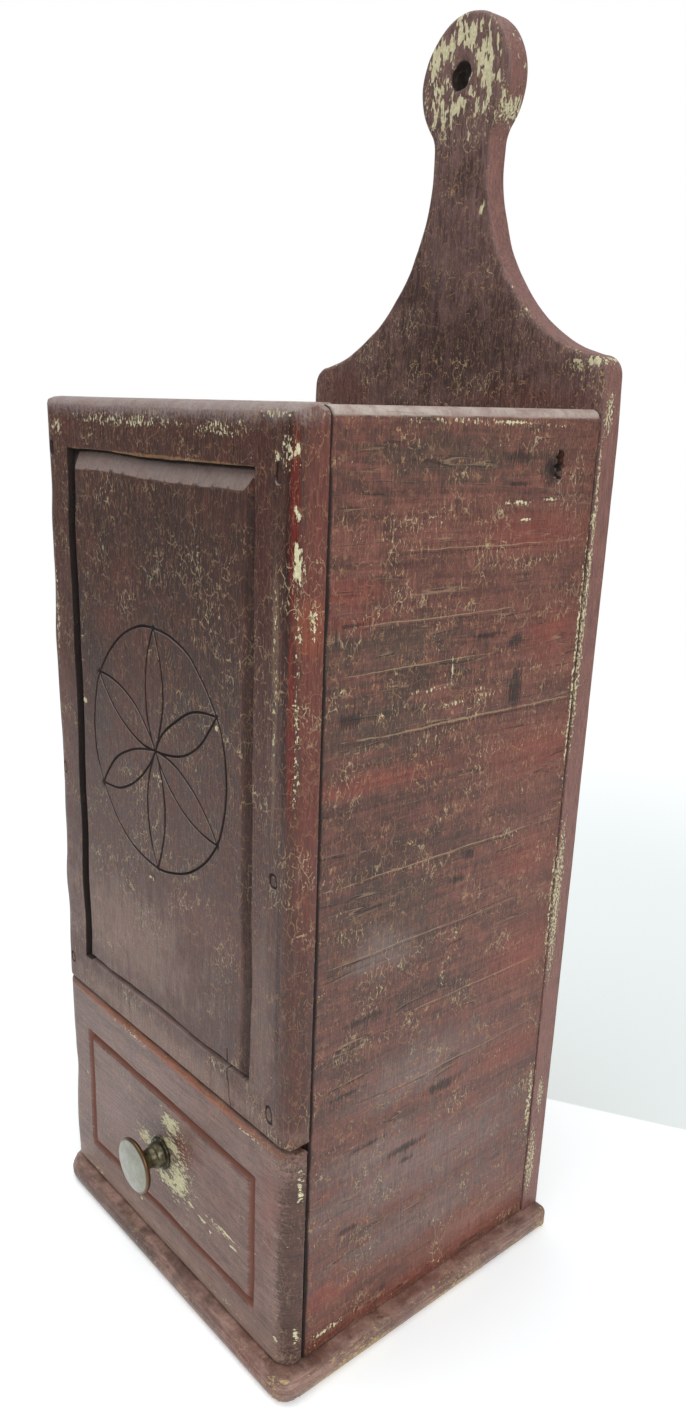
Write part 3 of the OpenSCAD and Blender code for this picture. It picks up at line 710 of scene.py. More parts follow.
def knob_profile():
    """Radius and distance out of the drawer front, from the foot to the middle of the disc."""
    def bend(centre, r, start, end, n):
        return [tuple(p) for p in arc(centre, r, start, end - start, n)]

    disc = KNOB_OUT - 3.2
    cove = (disc - 2.4) / 2
    flat = KNOB_R - KNOB_EDGE
    shares = [1 - i / 12 for i in range(1, 13)]
    return ([(2.0, 0.02), (5.2, 0.02)] + bend((5.25, 0.72), 0.7, -90, 90, 10)
            + [(4.75, 1.5), (4.6, 1.75), (4.65, 2.1), (4.4, 2.4)]
            + bend((3.3 + cove, 2.4 + cove), cove, 226, 150, 14)
            + [(8.1, disc + 0.5), (8.7, disc + 0.7)]
            + bend((flat, KNOB_OUT - KNOB_DOME - KNOB_EDGE), KNOB_EDGE, -60, 80, 12)
            + [(flat * s, KNOB_OUT - KNOB_DOME * s**2) for s in shares])


def knob():
    """The knob and its post, each turned round the knob's axis."""
    points = []
    faces = []

    def turned(profile, turns):
        """Adds a skin through rows of (radius, y) and returns its first and its last ring."""
        first, rows = len(points), len(profile)
        for i in range(turns):
            a = 2 * math.pi * i / turns
            points.extend((KNOB_X + r * math.cos(a), y, KNOB_Z + r * math.sin(a)) for r, y in profile)
            here, there = first + i * rows, first + (i + 1) % turns * rows
            faces.extend((here + k, there + k, there + k + 1, here + k + 1) for k in range(rows - 1))
        return [[first + i * rows + k for i in range(turns)] for k in (0, rows - 1)]

    *profile, (_, crown) = knob_profile()
    foot_ring, disc_ring = turned([(r, FRONT_Y - out) for r, out in profile], 96)
    for ring, out in ((disc_ring, crown), (foot_ring[::-1], profile[0][1])):
        points.append((KNOB_X, FRONT_Y - out, KNOB_Z))
        faces += [(a, b, len(points) - 1) for a, b in zip(ring, ring[1:] + ring[:1])]
    end, start = turned([(1.8, KNOB_HI[1]), (2.1, KNOB_HI[1] - 0.3), (2.1, FRONT_Y)], 24)
    faces += [tuple(end[::-1]), tuple(start)]
    return smooth_solid("knob_dressed", points, faces, 50)


# materials


def srgb(r, g, b):
    """A linear colour from 0 to 255 screen values."""
    def linear(c):
        c /= 255
        return c / 12.92 if c <= 0.04045 else ((c + 0.055) / 1.055) ** 2.4
    return (linear(r), linear(g), linear(b), 1.0)


def operation(name, turned=False):
    """An operator on values that adds a math node."""
    return lambda *values: values[0].kit.math(name, *(values[::-1] if turned else values))


class Value:
    """A node's output that can be used in sums."""

    def __init__(self, kit, socket):
        self.kit = kit
        self.socket = socket

    __add__ = __radd__ = operation("ADD")
    __sub__ = operation("SUBTRACT")
    __rsub__ = operation("SUBTRACT", turned=True)
    __mul__ = __rmul__ = operation("MULTIPLY")
    __truediv__ = operation("DIVIDE")
    __abs__ = operation("ABSOLUTE")


class Kit:
    """Builds a material's or the world's nodes from short expressions."""

    def __init__(self, owner, place="Object", scale=1000):
        owner.use_nodes = True
        self.owner = owner
        self.tree = owner.node_tree
        self.tree.nodes.clear()
        self.p = self.value(place, "ShaderNodeTexCoord")
        if scale != 1:
            self.p = self.vector("MULTIPLY", self.p, (scale,) * 3)
        self.x, self.y, self.z = self.parts(self.p)

    def node(self, kind, *values, **settings):
        """A new node with these first inputs and settings."""
        made = self.tree.nodes.new(kind)
        for key, value in settings.items():
            setattr(made, key, value)
        for value, socket in zip(values, made.inputs):
            self.link(value, socket)
        return made

    def value(self, out, kind, *values, **settings):
        """One output of a new node."""
        return Value(self, self.node(kind, *values, **settings).outputs[out])

    def link(self, value, socket):
        if isinstance(value, Value):
            self.tree.links.new(value.socket, socket)
        else:
            socket.default_value = value

    def math(self, operation, *values):
        return self.value(0, "ShaderNodeMath", *values, operation=operation)

    def vector(self, operation, *values, out="Vector"):
        return self.value(out, "ShaderNodeVectorMath", *values, operation=operation)

    def length(self, value):
        return self.vector("LENGTH", value, out="Value")

    def parts(self, value):
        split = self.node("ShaderNodeSeparateXYZ", value)
        return [Value(self, socket) for socket in split.outputs]

    def step(self, value, start, end, first=0.0, last=1.0):
        """first up to start, last from end on, and smooth between."""
        if start > end:
            start, end, first, last = end, start, last, first
        return self.value(0, "ShaderNodeMapRange", value, start, end, first, last,
                          interpolation_type="SMOOTHSTEP")

    def noise(self, size, detail=3.0, rough=0.55, twist=0.0, shift=0.0, out="Fac"):
        """Noise round 0.5 with features of the given size, one number or one per axis."""
        size = size if isinstance(size, tuple) else (size,) * 3
        scaled = self.vector("MULTIPLY_ADD", self.p, tuple(1 / s for s in size),
                             (shift, shift * 1.7, shift * 0.6))
        made = self.node("ShaderNodeTexNoise", scaled)
        for key, value in (("Scale", 1.0), ("Detail", detail), ("Roughness", rough),
                           ("Distortion", twist)):
            made.inputs[key].default_value = value
        return Value(self, made.outputs[out])

    def cracks(self, size, at):
        """Distance to the edge of irregular cells of the given size."""
        scaled = self.vector("MULTIPLY", at, tuple(1 / s for s in size))
        made = self.node("ShaderNodeTexVoronoi", scaled, feature="DISTANCE_TO_EDGE")
        made.inputs["Scale"].default_value = 1.0
        return Value(self, made.outputs["Distance"])

    def shaken(self, size, amount):
        """The position, moved about by noise."""
        return self.vector("MULTIPLY_ADD", self.noise(size, 2.0, 0.5, out="Color"), (amount,) * 3, self.p)

    def near(self, spots, axes, at=None):
        """Distance to the nearest of the spots (a, b, half width, half height): 1 on its outline."""
        least = None
        for a, b, ra, rb in spots:
            scale, shift = Vector(), Vector()
            for axis, centre, r in zip(axes, (a, b), (ra, rb)):
                setattr(scale, axis, 1 / r)
                setattr(shift, axis, -centre / r)
            d = self.length(self.vector("MULTIPLY_ADD", at or self.p, scale, shift))
            least = d if least is None else self.math("MINIMUM", least, d)
        return least

    def attribute(self, name):
        return self.value("Fac", "ShaderNodeAttribute", attribute_name=name)

    def mix(self, share, low, high, kind="MIX"):
        made = self.node("ShaderNodeMix", data_type="RGBA", blend_type=kind)
        for value, place in ((share, 0), (low, 6), (high, 7)):
            self.link(value, made.inputs[place])
        return Value(self, made.outputs[2])

    def finish(self, colour, roughness, height=None, lift=0.2, **settings):
        """Joins the shader. lift is the bump's height in millimetres for a height of 1."""
        shader = self.node("ShaderNodeBsdfPrincipled")
        self.link(colour, shader.inputs["Base Color"])
        self.link(roughness, shader.inputs["Roughness"])
        for key, value in settings.items():
            self.link(value, shader.inputs[key.replace("_", " ")])
        if height is not None:
            bump = self.node("ShaderNodeBump")
            bump.inputs["Distance"].default_value = lift * MM
            bump.inputs["Strength"].default_value = 1.0
            self.link(height, bump.inputs["Height"])
            self.tree.links.new(bump.outputs[0], shader.inputs["Normal"])
        self.node("ShaderNodeOutputMaterial", Value(self, shader.outputs[0]))
        return self.owner


MAROON = srgb(108, 66, 57)
RED = srgb(128, 62, 50)
UMBER = srgb(60, 42, 36)
OLIVE = srgb(74, 58, 49)
MAUVE = srgb(128, 102, 96)
CREAM = srgb(216, 209, 174)
DULL_CREAM = srgb(192, 182, 144)
PALE = srgb(164, 140, 112)
BUFF = srgb(198, 182, 142)
OCHRE = srgb(158, 118, 84)
# dark grime; as the default groove colour it is also painted shade in cuts and holes
GRIME_AND_SHADE = srgb(26, 18, 16)


def worn_paint(name, axes, base, patches=(), columns=(), smudges=(), flakes=(), flecks=(), edge_flecks=(),
               ring=None, scores=(), streak="z", ticks=1.0, rows=0.0, groove=GRIME_AND_SHADE, top=None, sawn=None,
               coarse=1.0, chips=(DULL_CREAM, CREAM), bare=None):
    """Old oxblood paint over a cream undercoat.

    axes are the two directions of the board's main face and streak the way its patches run.
    patches and columns are (colour, share, spots), columns with firmer edges; smudges, flakes and
    flecks are spots; edge_flecks are flecks on the faces at right angles to x, as (y, z) spots;
    ring is a band of flakes (a, b, radius, half width); scores are long pale scratches. ticks and rows
    are the strengths of the upright crackle and of the cracks along the saw marks. groove is the
    colour in what is cut in: grime and painted shade by default. top is that of faces that look up,
    worn paint and painted top light, and sawn that of faces that look sideways.
    coarse scales the relief. chips are the darker and the lighter colour where paint has flaked off,
    and bare gives the share of bare wood."""
    k = Kit(bpy.data.materials.new(name))
    level_grain = axes[0] == "x" and streak == "x"
    loose = k.shaken(7.0, 6.0)
    mottle = k.noise(6.0, 6, 0.68)
    pull = k.noise({"x": (26, 26, 2.2), "z": (2.2, 2.2, 26)}[streak], 5, 0.7, 0.6)
    grain = k.noise((9, 9, 0.5) if level_grain else (0.5, 0.5, 6), 4, 0.65)
    speck = k.noise(0.9, 3, 0.6)
    mottled, pulled, grained, specked = (value - 0.5 for value in (mottle, pull, grain, speck))
    arris = k.attribute("arris")
    cut = k.attribute("cut")
    broken = pulled * 2.0 + mottled * 2.4
    colour = k.mix(k.step(mottle + pulled * 1.2, 0.35, 0.65), k.mix(0.4, base, UMBER), base)

    def coat(share, paint):
        nonlocal colour
        colour = k.mix(share, colour, paint)

    def spread_over(spots, shake, ragged, start, end):
        """1 on the spots, whose outline is shaken and ragged."""
        return k.step(k.near(spots, axes, k.shaken(4.0, shake)) + ragged, start, end)

    for paint, share, spots in patches:
        coat(k.step(k.near(spots, axes, loose) + broken, 1.6, 0.1) * share, paint)
    for paint, share, spots in columns:
        edge = k.near(spots, axes, k.shaken(3.0, 0.9)) + pulled * 0.7 + specked * 1.2
        coat(k.step(edge, 1.3, 0.7) * share, paint)
    tone = 1.0 + grained * 1.9 + specked * 0.6 + mottled * 0.5 + pulled * 0.5
    if rows:
        bands = k.noise((60, 60, 1.5), 4, 0.6)
        tone = tone + (bands - 0.5) * 0.9 * rows + (k.noise((50, 50, 5), 2) - 0.5) * 0.5 * rows
    colour = k.mix(1.0, colour, tone, "MULTIPLY")

    # cracks along the saw marks, dark with a pale lower lip
    lift = 0.0
    if rows:
        wander = k.noise((110, 110, 7.5), 3, 0.55)
        live = k.step(k.noise((22, 22, 4), 3, 0.6, shift=6.0), 0.50, 0.64) * rows
        dark = k.step(abs(wander - 0.5), 0.014, 0.004) * live
        coat(dark * 0.6, GRIME_AND_SHADE)
        coat(k.step(abs(wander - 0.516), 0.010, 0.003) * live * 0.4, PALE)
        lift = bands * 0.8 - dark * 1.0
    if scores:
        here = k.shaken(16.0, 1.6)
        ragged = (k.noise((4, 4, 0.8), 3, 0.6, shift=14.0) - 0.5) * 1.9
        coat(k.step(k.near(scores, axes, here) + ragged, 1.0, 0.7) * 0.6, PALE)
        under = [(u, v - 0.9, ru, rv) for u, v, ru, rv in scores]
        coat(k.step(k.near(under, axes, here) + ragged, 1.1, 0.6) * 0.55, GRIME_AND_SHADE)

    # crackle through to the undercoat, mostly upright and stronger in some places
    where = k.noise((17, 17, 12), 4, 0.6, shift=3.0)
    strand = (k.x + k.y) / 1.7 + k.noise((4, 4, 7), 3, 0.6, shift=1.0) * 6.0
    strand = abs(k.math("FRACT", strand) - 0.5)
    dash = k.step(k.noise((1.2, 1.2, 2.8), 2, 0.55, shift=8.0), 0.46, 0.56)
    if rows:
        dash = dash * (0.35 + 1.0 * k.step(k.noise((46, 46, 3.2), 3, 0.55, shift=18.0), 0.42, 0.56))
    net = k.step(k.cracks((2.5, 2.5, 4.6), k.shaken(2.2, 1.8)), 0.05, 0.012)
    net = net * k.step(k.noise(3.2, 2, shift=9.0), 0.44, 0.56) * (1.0 - 0.35 * rows)
    cracked = k.math("MAXIMUM", k.step(strand, 0.13, 0.04) * dash, net)
    cracked = cracked * (0.42 + 0.5 * k.step(where, 0.42, 0.62)) * ticks
    coat(cracked, k.mix(k.step(where + specked * 0.4, 0.50, 0.72), OCHRE, BUFF))
    if smudges:
        coat(spread_over(smudges, 1.5, grained * 3.4, 1.1, 0.5) * 0.72, GRIME_AND_SHADE)

    # worn arrises, and faces that look up or sideways; those that look up are paler, with worn paint and
    # painted top light
    rub = arris + (k.noise((2.2, 2.2, 4.5), 4, 0.65, shift=7.0) - 0.5) * 8.0
    flaked = k.step(rub, -0.9, -1.4) * k.step(arris, 4.0, 0.6)
    coat(k.step(arris + mottled * 2.5, 0.9, -0.2) * 0.4, MAUVE)
    _, toward_y, up = k.parts(k.value("Normal", "ShaderNodeNewGeometry"))
    if sawn is not None:
        coat(k.step(abs(toward_y), 0.75, 0.5) * 0.8, k.mix(1.0, sawn, tone, "MULTIPLY"))
    # faces that look up are paler: worn paint and painted top light
    if top is not None:
        up = up + mottled * 0.35 + pulled * 0.2
        coat(k.step(up, 0.2, 0.4) * 0.85, k.mix(k.step(mottle, 0.35, 0.7) * 0.7, top, MAUVE))

    # flakes and flecks down to the undercoat
    def flake(share):
        nonlocal flaked
        flaked = k.math("MAXIMUM", flaked, share)

    if flakes:
        bite = k.noise((2.6, 2.6, 0.9) if level_grain else (0.9, 0.9, 2.6), 4, 0.62, shift=4.0)
        flake(spread_over(flakes, 1.6, (bite - 0.5) * 3.4, 0.62, 0.52))
    chip = k.noise((1.6, 1.6, 0.6) if level_grain else (0.7, 0.7, 1.2), 3, 0.6, shift=15.0)
    dense = 0.0
    if flecks:
        dense = k.step(k.near(flecks, axes, k.shaken(4.0, 1.6)), 1.3, 0.2)
    if edge_flecks:
        side = k.step(abs(k.x), HALF_W - 1.0, HALF_W - 0.6)
        dense = dense + k.step(k.near(edge_flecks, "yz", k.shaken(4.0, 1.2)), 1.4, 0.4) * side * 1.3
    flake(k.step(chip + dense * 0.175, 0.70, 0.75))
    if ring is not None:
        a, b, r, half = ring
        edge = abs(k.near([(a, b, 1, 1)], axes) - r) / half + (k.noise(7.0, 2, shift=2.5) - 0.5) * 3.0
        dashes = (k.noise((1.7, 1.7, 5.0), 2, 0.6, shift=13.0) - 0.5) * 9.0
        flake(k.step(edge + dashes, 0.42, 0.30))
    coat(flaked, k.mix(k.step(speck, 0.3, 0.7), *chips))

    # the groove colour in what is cut in: grime and painted shade by default, red paint in the drawer's
    # moulding
    sunk = k.step(cut + specked * 0.4, 0.1, 0.7)
    coat(sunk * 0.92, groove)
    rough = 0.38 + mottled * 0.26 + pulled * 0.2 + flaked * 0.3 + cracked * 0.15 + sunk * 0.4
    height = grain * 1.1 + mottle * 0.8 + speck * 0.25 + pull * 0.5 - cracked * 0.5 - flaked * 0.6 + lift
    if bare is not None:
        share = bare(k)
        wood, wood_height = bare_wood(k)
        coat(share, wood)
        rough = rough + share * 0.3
        height = height * (1.0 - share) + wood_height * share
    return k.finish(colour, rough, height, 0.24 * coarse, Specular_IOR_Level=0.36)


def bare_wood(k, long="z"):
    """Colour and height of old bare pine whose grain runs along one axis."""
    figure = k.noise(tuple(46.0 if axis == long else 1.6 for axis in "xyz"), 5, 0.6, 0.4)
    pores = k.noise(tuple(9.0 if axis == long else 0.35 for axis in "xyz"), 3, 0.6)
    blotch = k.noise(26.0, 3)
    colour = k.mix(k.step(figure, 0.35, 0.68), srgb(166, 134, 100), srgb(118, 88, 62))
    colour = k.mix(k.step(blotch, 0.4, 0.7) * 0.45, colour, srgb(92, 72, 56))
    colour = k.mix(k.step(pores, 0.42, 0.30) * 0.5, colour, GRIME_AND_SHADE)
    return colour, figure * 0.6 + pores * 0.5


def wood_material(name, long):
    k = Kit(bpy.data.materials.new(name))
    colour, height = bare_wood(k, long)
    return k.finish(colour, 0.72 + (k.noise(5.0, 3) - 0.5) * 0.2, height, 0.16)


def knob_material():
    k = Kit(bpy.data.materials.new("old_brass_patina"))
    out = FRONT_Y - k.y
    radius = k.length(k.vector("MULTIPLY", k.vector("SUBTRACT", k.p, (KNOB_X, 0, KNOB_Z)), (1, 0, 1)))
    cloud = k.noise(3.2, 5, 0.65)
    colour = k.mix(k.step(cloud, 0.35, 0.65), srgb(100, 96, 76), srgb(66, 58, 42))
    face = k.mix(k.step(cloud, 0.3, 0.7), srgb(156, 157, 146), srgb(140, 140, 128))
    colour = k.mix(k.step(out, KNOB_OUT - 2.0, KNOB_OUT - 1.2), colour, face)
    colour = k.mix(k.step(radius, 8.8, 9.5) * 0.85, colour, srgb(96, 70, 44))
    grime = k.step(out, 3.2, 1.6) * k.step(k.noise(1.2, 3), 0.35, 0.6)
    colour = k.mix(grime * 0.7, colour, srgb(40, 34, 26))
    rough = 0.34 + (cloud - 0.5) * 0.3 + grime * 0.3
    return k.finish(colour, rough, k.noise(0.7, 3) * 0.4 + cloud, 0.06, Metallic=0.85)


def iron_material(name, low, high, metallic):
    k = Kit(bpy.data.materials.new(name))
    rust = k.noise(1.3, 4, 0.65)
    colour = k.mix(k.step(rust, 0.35, 0.65), low, high)
    return k.finish(colour, 0.7 + (rust - 0.5) * 0.3, rust, 0.12, Metallic=metallic)


# pieces on their bodies


def dress(obj, node, body, material):
    """obj stands for a CAD node, on that node's body, with a material."""
    obj.data.materials.clear()
    obj.data.materials.append(material)
    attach(obj, body)
    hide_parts(node)


def paint_nodes(names, material, bevel):
    """CAD nodes keep their shape and get a material and slightly broken edges."""
    for name in names:
        obj = node_of[name]
        obj.data.materials.clear()
        obj.data.materials.append(material)
        made = obj.modifiers.new("broken_edges", "BEVEL")
        made.width = bevel * MM
        made.segments = 2
        made.limit_method = "ANGLE"
        made.angle_limit = math.radians(50)


def below_rim(k):
    """1 inside the well, up to where the paint laps over the rim."""
    return k.step(k.z + (k.noise(14.0, 3) - 0.5) * 16, RIM_Z - 6, RIM_Z - 12)


def bare_inside_side(sign):
    """Bare wood on a side board's face that looks into the well."""
    return lambda k: k.step(k.x * sign, WELL_HALF_W + 1.5, WELL_HALF_W + 0.7) * below_rim(k)


def bare_inside(k, y_paint, y_bare):
    """Bare wood on a front or back board's face that looks into the well."""
    return (k.step(k.y, y_paint, y_bare) * below_rim(k)
            * k.step(abs(k.x), WELL_HALF_W + 0.4, WELL_HALF_W - 0.1))


dress(front_board(), "front_board", "case", worn_paint(
    "paint_front", "xz", srgb(78, 46, 38),
    patches=[(UMBER, 0.75, [(10, 262, 46, 22), (30, 225, 22, 26), (-36, 225, 12, 30)]),
             (RED, 0.22, [(-14, 252, 7, 7), (-26, 236, 8, 5), (-55, 295, 12, 4)]),
             (MAROON, 0.5, [(54, 230, 5, 60), (-60, 200, 6, 60), (30, 150, 22, 10)]),
             # paler patches low on the front: bloom on the paint and painted sheen
             (srgb(150, 120, 106), 0.5, [(0, 97, 70, 6), (-20, 128, 40, 18)]),
             (srgb(140, 114, 102), 0.35, [(58, 128, 8, 34)])],
    # a pale band along the rim: worn paint and painted top light
    columns=[(srgb(146, 130, 128), 0.8, [(0, RIM_Z + 3.5, 160, 7.4)]),
             (srgb(101, 53, 45), 0.85, [(71.5, 235, 3.4, 80)]),
             (srgb(70, 37, 30), 0.85, [(53.6, 232, 3.6, 66)]),
             (PALE, 0.2, [(59.6, 247, 0.9, 18), (60.8, 236, 0.8, 22), (60.2, 205, 0.8, 16)]),
             # dark red bands down the right edge's rounding: painted shade
             (srgb(50, 23, 19), 0.85, [(64.5, 245, 1.5, 56), (63.6, 140, 1.0, 30)]),
             (srgb(104, 30, 23), 0.75, [(66.2, 272, 1.3, 24), (66.3, 222, 1.1, 26)]),
             (srgb(136, 70, 48), 0.5, [(70, 247, 3.2, 7)]),
             (srgb(148, 110, 72), 0.6, [(-1, 285.5, 51, 0.45)]),
             (srgb(124, 82, 72), 0.6, [(-1, 104.6, 50, 1.0)])],
    flakes=[(67.8, 264, 1.7, 9), (67.4, 276, 1.0, 3), (66.8, 291, 1.2, 3), (60.2, 288.5, 1.3, 1.8),
            (-4, 153.0, 2.2, 0.8), (33, 213, 1.4, 1.2), (-45, 204, 2.0, 1.4)],
    flecks=[(-12, 295.3, 44, 2.6), (34, 294.8, 20, 2.6), (-58, 292, 6, 5), (68.4, 247, 1.3, 7),
            (68.2, 225, 0.9, 24), (60.6, 225, 1.0, 26), (60.4, 246, 1.0, 18), (64, 290, 4, 7),
            (60, 299, 9, 2), (1, 188, 4, 4), (68, 208, 1.2, 14), (-63, 235, 2, 30)],
    edge_flecks=[(-59.5, 249, 3.6, 8), (-60.5, 215, 1.4, 20), (-60, 292, 2, 5)],
    # top: worn paint and painted top light on faces that look up
    ticks=0.75, top=srgb(152, 136, 130), coarse=1.4, bare=lambda k: bare_inside(k, -54.7, -54.4)))
dress(drawer_front(), "drawer_front", "drawer", worn_paint(
    "paint_drawer", "xz", srgb(124, 96, 87), streak="x",
    patches=[(MAROON, 0.4, [(40, 54, 18, 14), (60, 58, 7, 26), (-40, 39, 16, 10), (20, 61, 12, 6)]),
             (MAUVE, 0.6, [(-25, 65, 11, 4), (-30, 49, 20, 12), (12, 27, 14, 5), (0, 80, 60, 3)]),
             # a paler band along the lower rail: painted light where the base's ledge keeps the floor's
             # light off it
             (srgb(152, 128, 116), 0.8, [(0, 13.5, 80, 6)]),
             (RED, 0.35, [(16, 58, 7, 5), (64, 68, 4, 20)])],
    columns=[(srgb(146, 84, 54), 0.7, [(0, 87.4, 68, 1.2)]),
             (srgb(62, 36, 28), 0.85, [(70.4, 46, 4.6, 40)])],
    flakes=[(4.8, 63.3, 9, 5.4), (5.4, 54.8, 8.4, 4.2), (-11, 48.6, 8, 4.4), (10.1, 43.6, 9.6, 10.4),
            (4, 39, 14, 4.0), (17, 38, 4, 1.2), (24, 36.8, 4, 0.8), (37, 40.6, 8, 0.8),
            (29.5, 34.8, 1.2, 1.2), (-55, 52.4, 1.2, 1.0), (-15.6, 19, 1.0, 0.8), (43, 37.6, 3, 1.0),
            (66, 19, 1.4, 1.4)],
    flecks=[(8, 50, 16, 18), (36, 40, 12, 2), (50, 86.5, 10, 1.2), (-20, 86.8, 20, 1.2),
            (36, 12.5, 14, 1.4), (-50, 11, 12, 1.4), (54, 45, 3, 2)],
    edge_flecks=[(-58, 20, 2.4, 5), (-60, 60, 1.0, 18), (-57, 76, 2, 8)],
    ticks=0.3, groove=srgb(122, 76, 62), bare=lambda k: k.step(k.y, -55.2, -54.95)))

SIDE_PATCHES = [
    (UMBER, 0.4, [(-40, 160, 44, 110)]),
    (srgb(150, 106, 94), 0.45, [(30, 24, 26, 9)]),
    (OLIVE, 0.7, [(-25, 241, 26, 9), (-5, 291, 30, 8), (-30, 221, 22, 9), (-22, 157, 22, 16)]),
    (UMBER, 0.5, [(-20, 177, 30, 7), (0, 235, 22, 4), (-40, 109, 12, 8), (-8, 129, 24, 5), (-6, 83, 12, 4)]),
    (RED, 0.6, [(30, 271, 24, 6), (-45, 257, 12, 4), (-40, 250, 10, 2.5), (40, 202, 24, 9),
                (-30, 204, 28, 3), (42, 127, 18, 12), (40, 164, 14, 7), (-42, 31, 12, 5), (36, 17, 26, 4),
                (-10, 15, 40, 3), (40, 89, 16, 6), (42, 239, 12, 9)]),
    (srgb(116, 96, 92), 0.75, [(-6, 101, 26, 9), (-24, 149, 12, 8), (-4, 62, 46, 12), (0, 40, 38, 8),
                               (-20, 76, 24, 7)])]
# the third smudge, beside the old hole, is painted shade at the hole's mouth; the others are grime
SIDE_SMUDGES = [(18, 290, 6, 2.2), (18, 282.5, 6, 0.9), (31.5, 286, 3.4, 5), (8, 169, 4, 1.6),
                (4, 162, 3, 1.2), (-34, 125.8, 10, 1.4), (-40, 102, 8, 1), (3, 87, 8, 2.2),
                (-12, 70, 10, 1.6), (-36, 50, 5, 1.2), (24, 221, 4, 8), (-43, 246.8, 6, 0.6),
                (-49.6, 244.4, 0.6, 3), (10, 239, 8, 0.8), (22, 236, 4, 2), (-12, 65, 4, 1),
                (-30, 79, 9, 0.9), (-44, 221, 5, 3)]
SIDE_FLAKES = [(19, 277.3, 5, 0.6), (33, 277.8, 4, 0.5), (22, 272.3, 3, 0.5), (-5, 230, 0.5, 5),
               (-45, 14.4, 6, 0.8), (14, 299.4, 10, 0.6)]
SIDE_FLECKS = [(-14, 225.5, 12, 1.0), (-3, 220, 8, 1.2), (-5, 228, 0.8, 6), (8, 221, 1.0, 5),
               (16, 277, 10, 1.2), (5, 141, 1.4, 5), (0, 130, 1.4, 6), (-43, 14.5, 10, 1.6),
               (0, 299, 50, 1.2)]
SIDE_SCORES = [(4, 214.7, 56, 0.34), (-12, 246.5, 36, 0.22), (0, 172.4, 54, 0.24), (10, 265.4, 44, 0.18),
               (-10, 147.4, 44, 0.2), (16, 121.4, 40, 0.2), (-20, 233.4, 32, 0.2), (10, 95.4, 46, 0.18)]
# top is the colour of faces that look up: worn paint and painted top light
SIDE_LOOK = {"streak": "x", "rows": 0.9, "coarse": 1.25, "top": srgb(190, 176, 166)}


def turned_round(spots, y_shift, z_shift):
    """The right side's spots as the left side has them: seen from the other side and moved."""
    return [(y_shift - y, z + z_shift, ry, rz) for y, z, ry, rz in spots]


dress(side_board("right_side", 1), "right_side", "case", worn_paint(
    "paint_right", "yz", MAROON, SIDE_PATCHES, (), SIDE_SMUDGES, SIDE_FLAKES, SIDE_FLECKS,
    [(52.7, 225, 1.0, 50), (52.8, 140, 1.0, 30), (51.8, 60, 1.6, 18)], scores=SIDE_SCORES,
    bare=bare_inside_side(1), **SIDE_LOOK))
dress(side_board("left_side", -1), "left_side", "case", worn_paint(
    "paint_left", "yz", MAROON,
    [(paint, share, [(-8 - y, z + (y % 7) * 3 - 9, ry, rz) for y, z, ry, rz in spots])
     for paint, share, spots in SIDE_PATCHES], (),
    turned_round(SIDE_SMUDGES[::2], 4, -6), turned_round(SIDE_FLAKES[::2], -4, -9),
    turned_round(SIDE_FLECKS[::2], -4, -9), scores=turned_round(SIDE_SCORES[1:], 0, -13),
    bare=bare_inside_side(-1), **SIDE_LOOK))
dress(back_board(), "back_board", "case", worn_paint(
    "paint_back", "xz", srgb(113, 85, 82),
    patches=[(MAROON, 0.6, [(40, 309, 26, 5), (-50, 311, 14, 8)]),
             (UMBER, 0.6, [(10, 325, 30, 16), (-10, 345, 10, 10), (8, 378, 9, 6), (0, 304, 50, 4)]),
             (MAUVE, 0.35, [(6, 411, 12, 5), (0, 352, 8, 6)])],
    flakes=[(66, 318.4, 5, 1.8), (22, 390.5, 5, 9), (14, 365.5, 1.4, 2.4), (59, 318.5, 3, 0.8)],
    flecks=[(20, 397, 2, 10), (-14, 400, 1.5, 10), (62, 317, 8, 2.5)],
    edge_flecks=[(54.5, 235, 1.4, 46), (54.9, 266, 1.0, 40), (55.6, 140, 2.6, 38), (56, 30, 3, 18),
                 (58, 60, 2, 9), (57, 303, 2.4, 8)],
    ring=(HOLE[0] + 0.2, HOLE[1] + 1.5, 10.6, 5.0), ticks=1.2, coarse=1.6, sawn=srgb(130, 88, 80),
    bare=lambda k: k.math("MAXIMUM", k.step(k.y, 61.7, 62.0), bare_inside(k, 53.9, 53.5))))
dress(base_board(), "base_board", "case", worn_paint(
    "paint_base", "xy", srgb(140, 111, 101), streak="x",
    patches=[(RED, 0.3, [(60, -66, 14, 6), (74, 0, 3, 50)]), (UMBER, 0.45, [(-30, -66, 40, 5)])],
    flakes=[(73, -63, 1.5, 2), (-66, -67, 4, 1.4)], chips=(srgb(146, 118, 88), srgb(186, 164, 126)),
    flecks=[(0, -67.5, 76, 1.4), (75.8, -36, 1.2, 24), (75.8, 10, 1.2, 26), (75, 60, 2.4, 8),
            (70, -66, 7, 5)],
    edge_flecks=[(-38, 3.0, 26, 2.6), (10, 3.2, 26, 1.6), (45, 3, 10, 2.6), (60, 3.4, 8, 2.6)],
    ticks=0.4, bare=lambda k: k.step(k.z, 0.5, 0.2)))
dress(knob(), "drawer_knob", "drawer", knob_material())

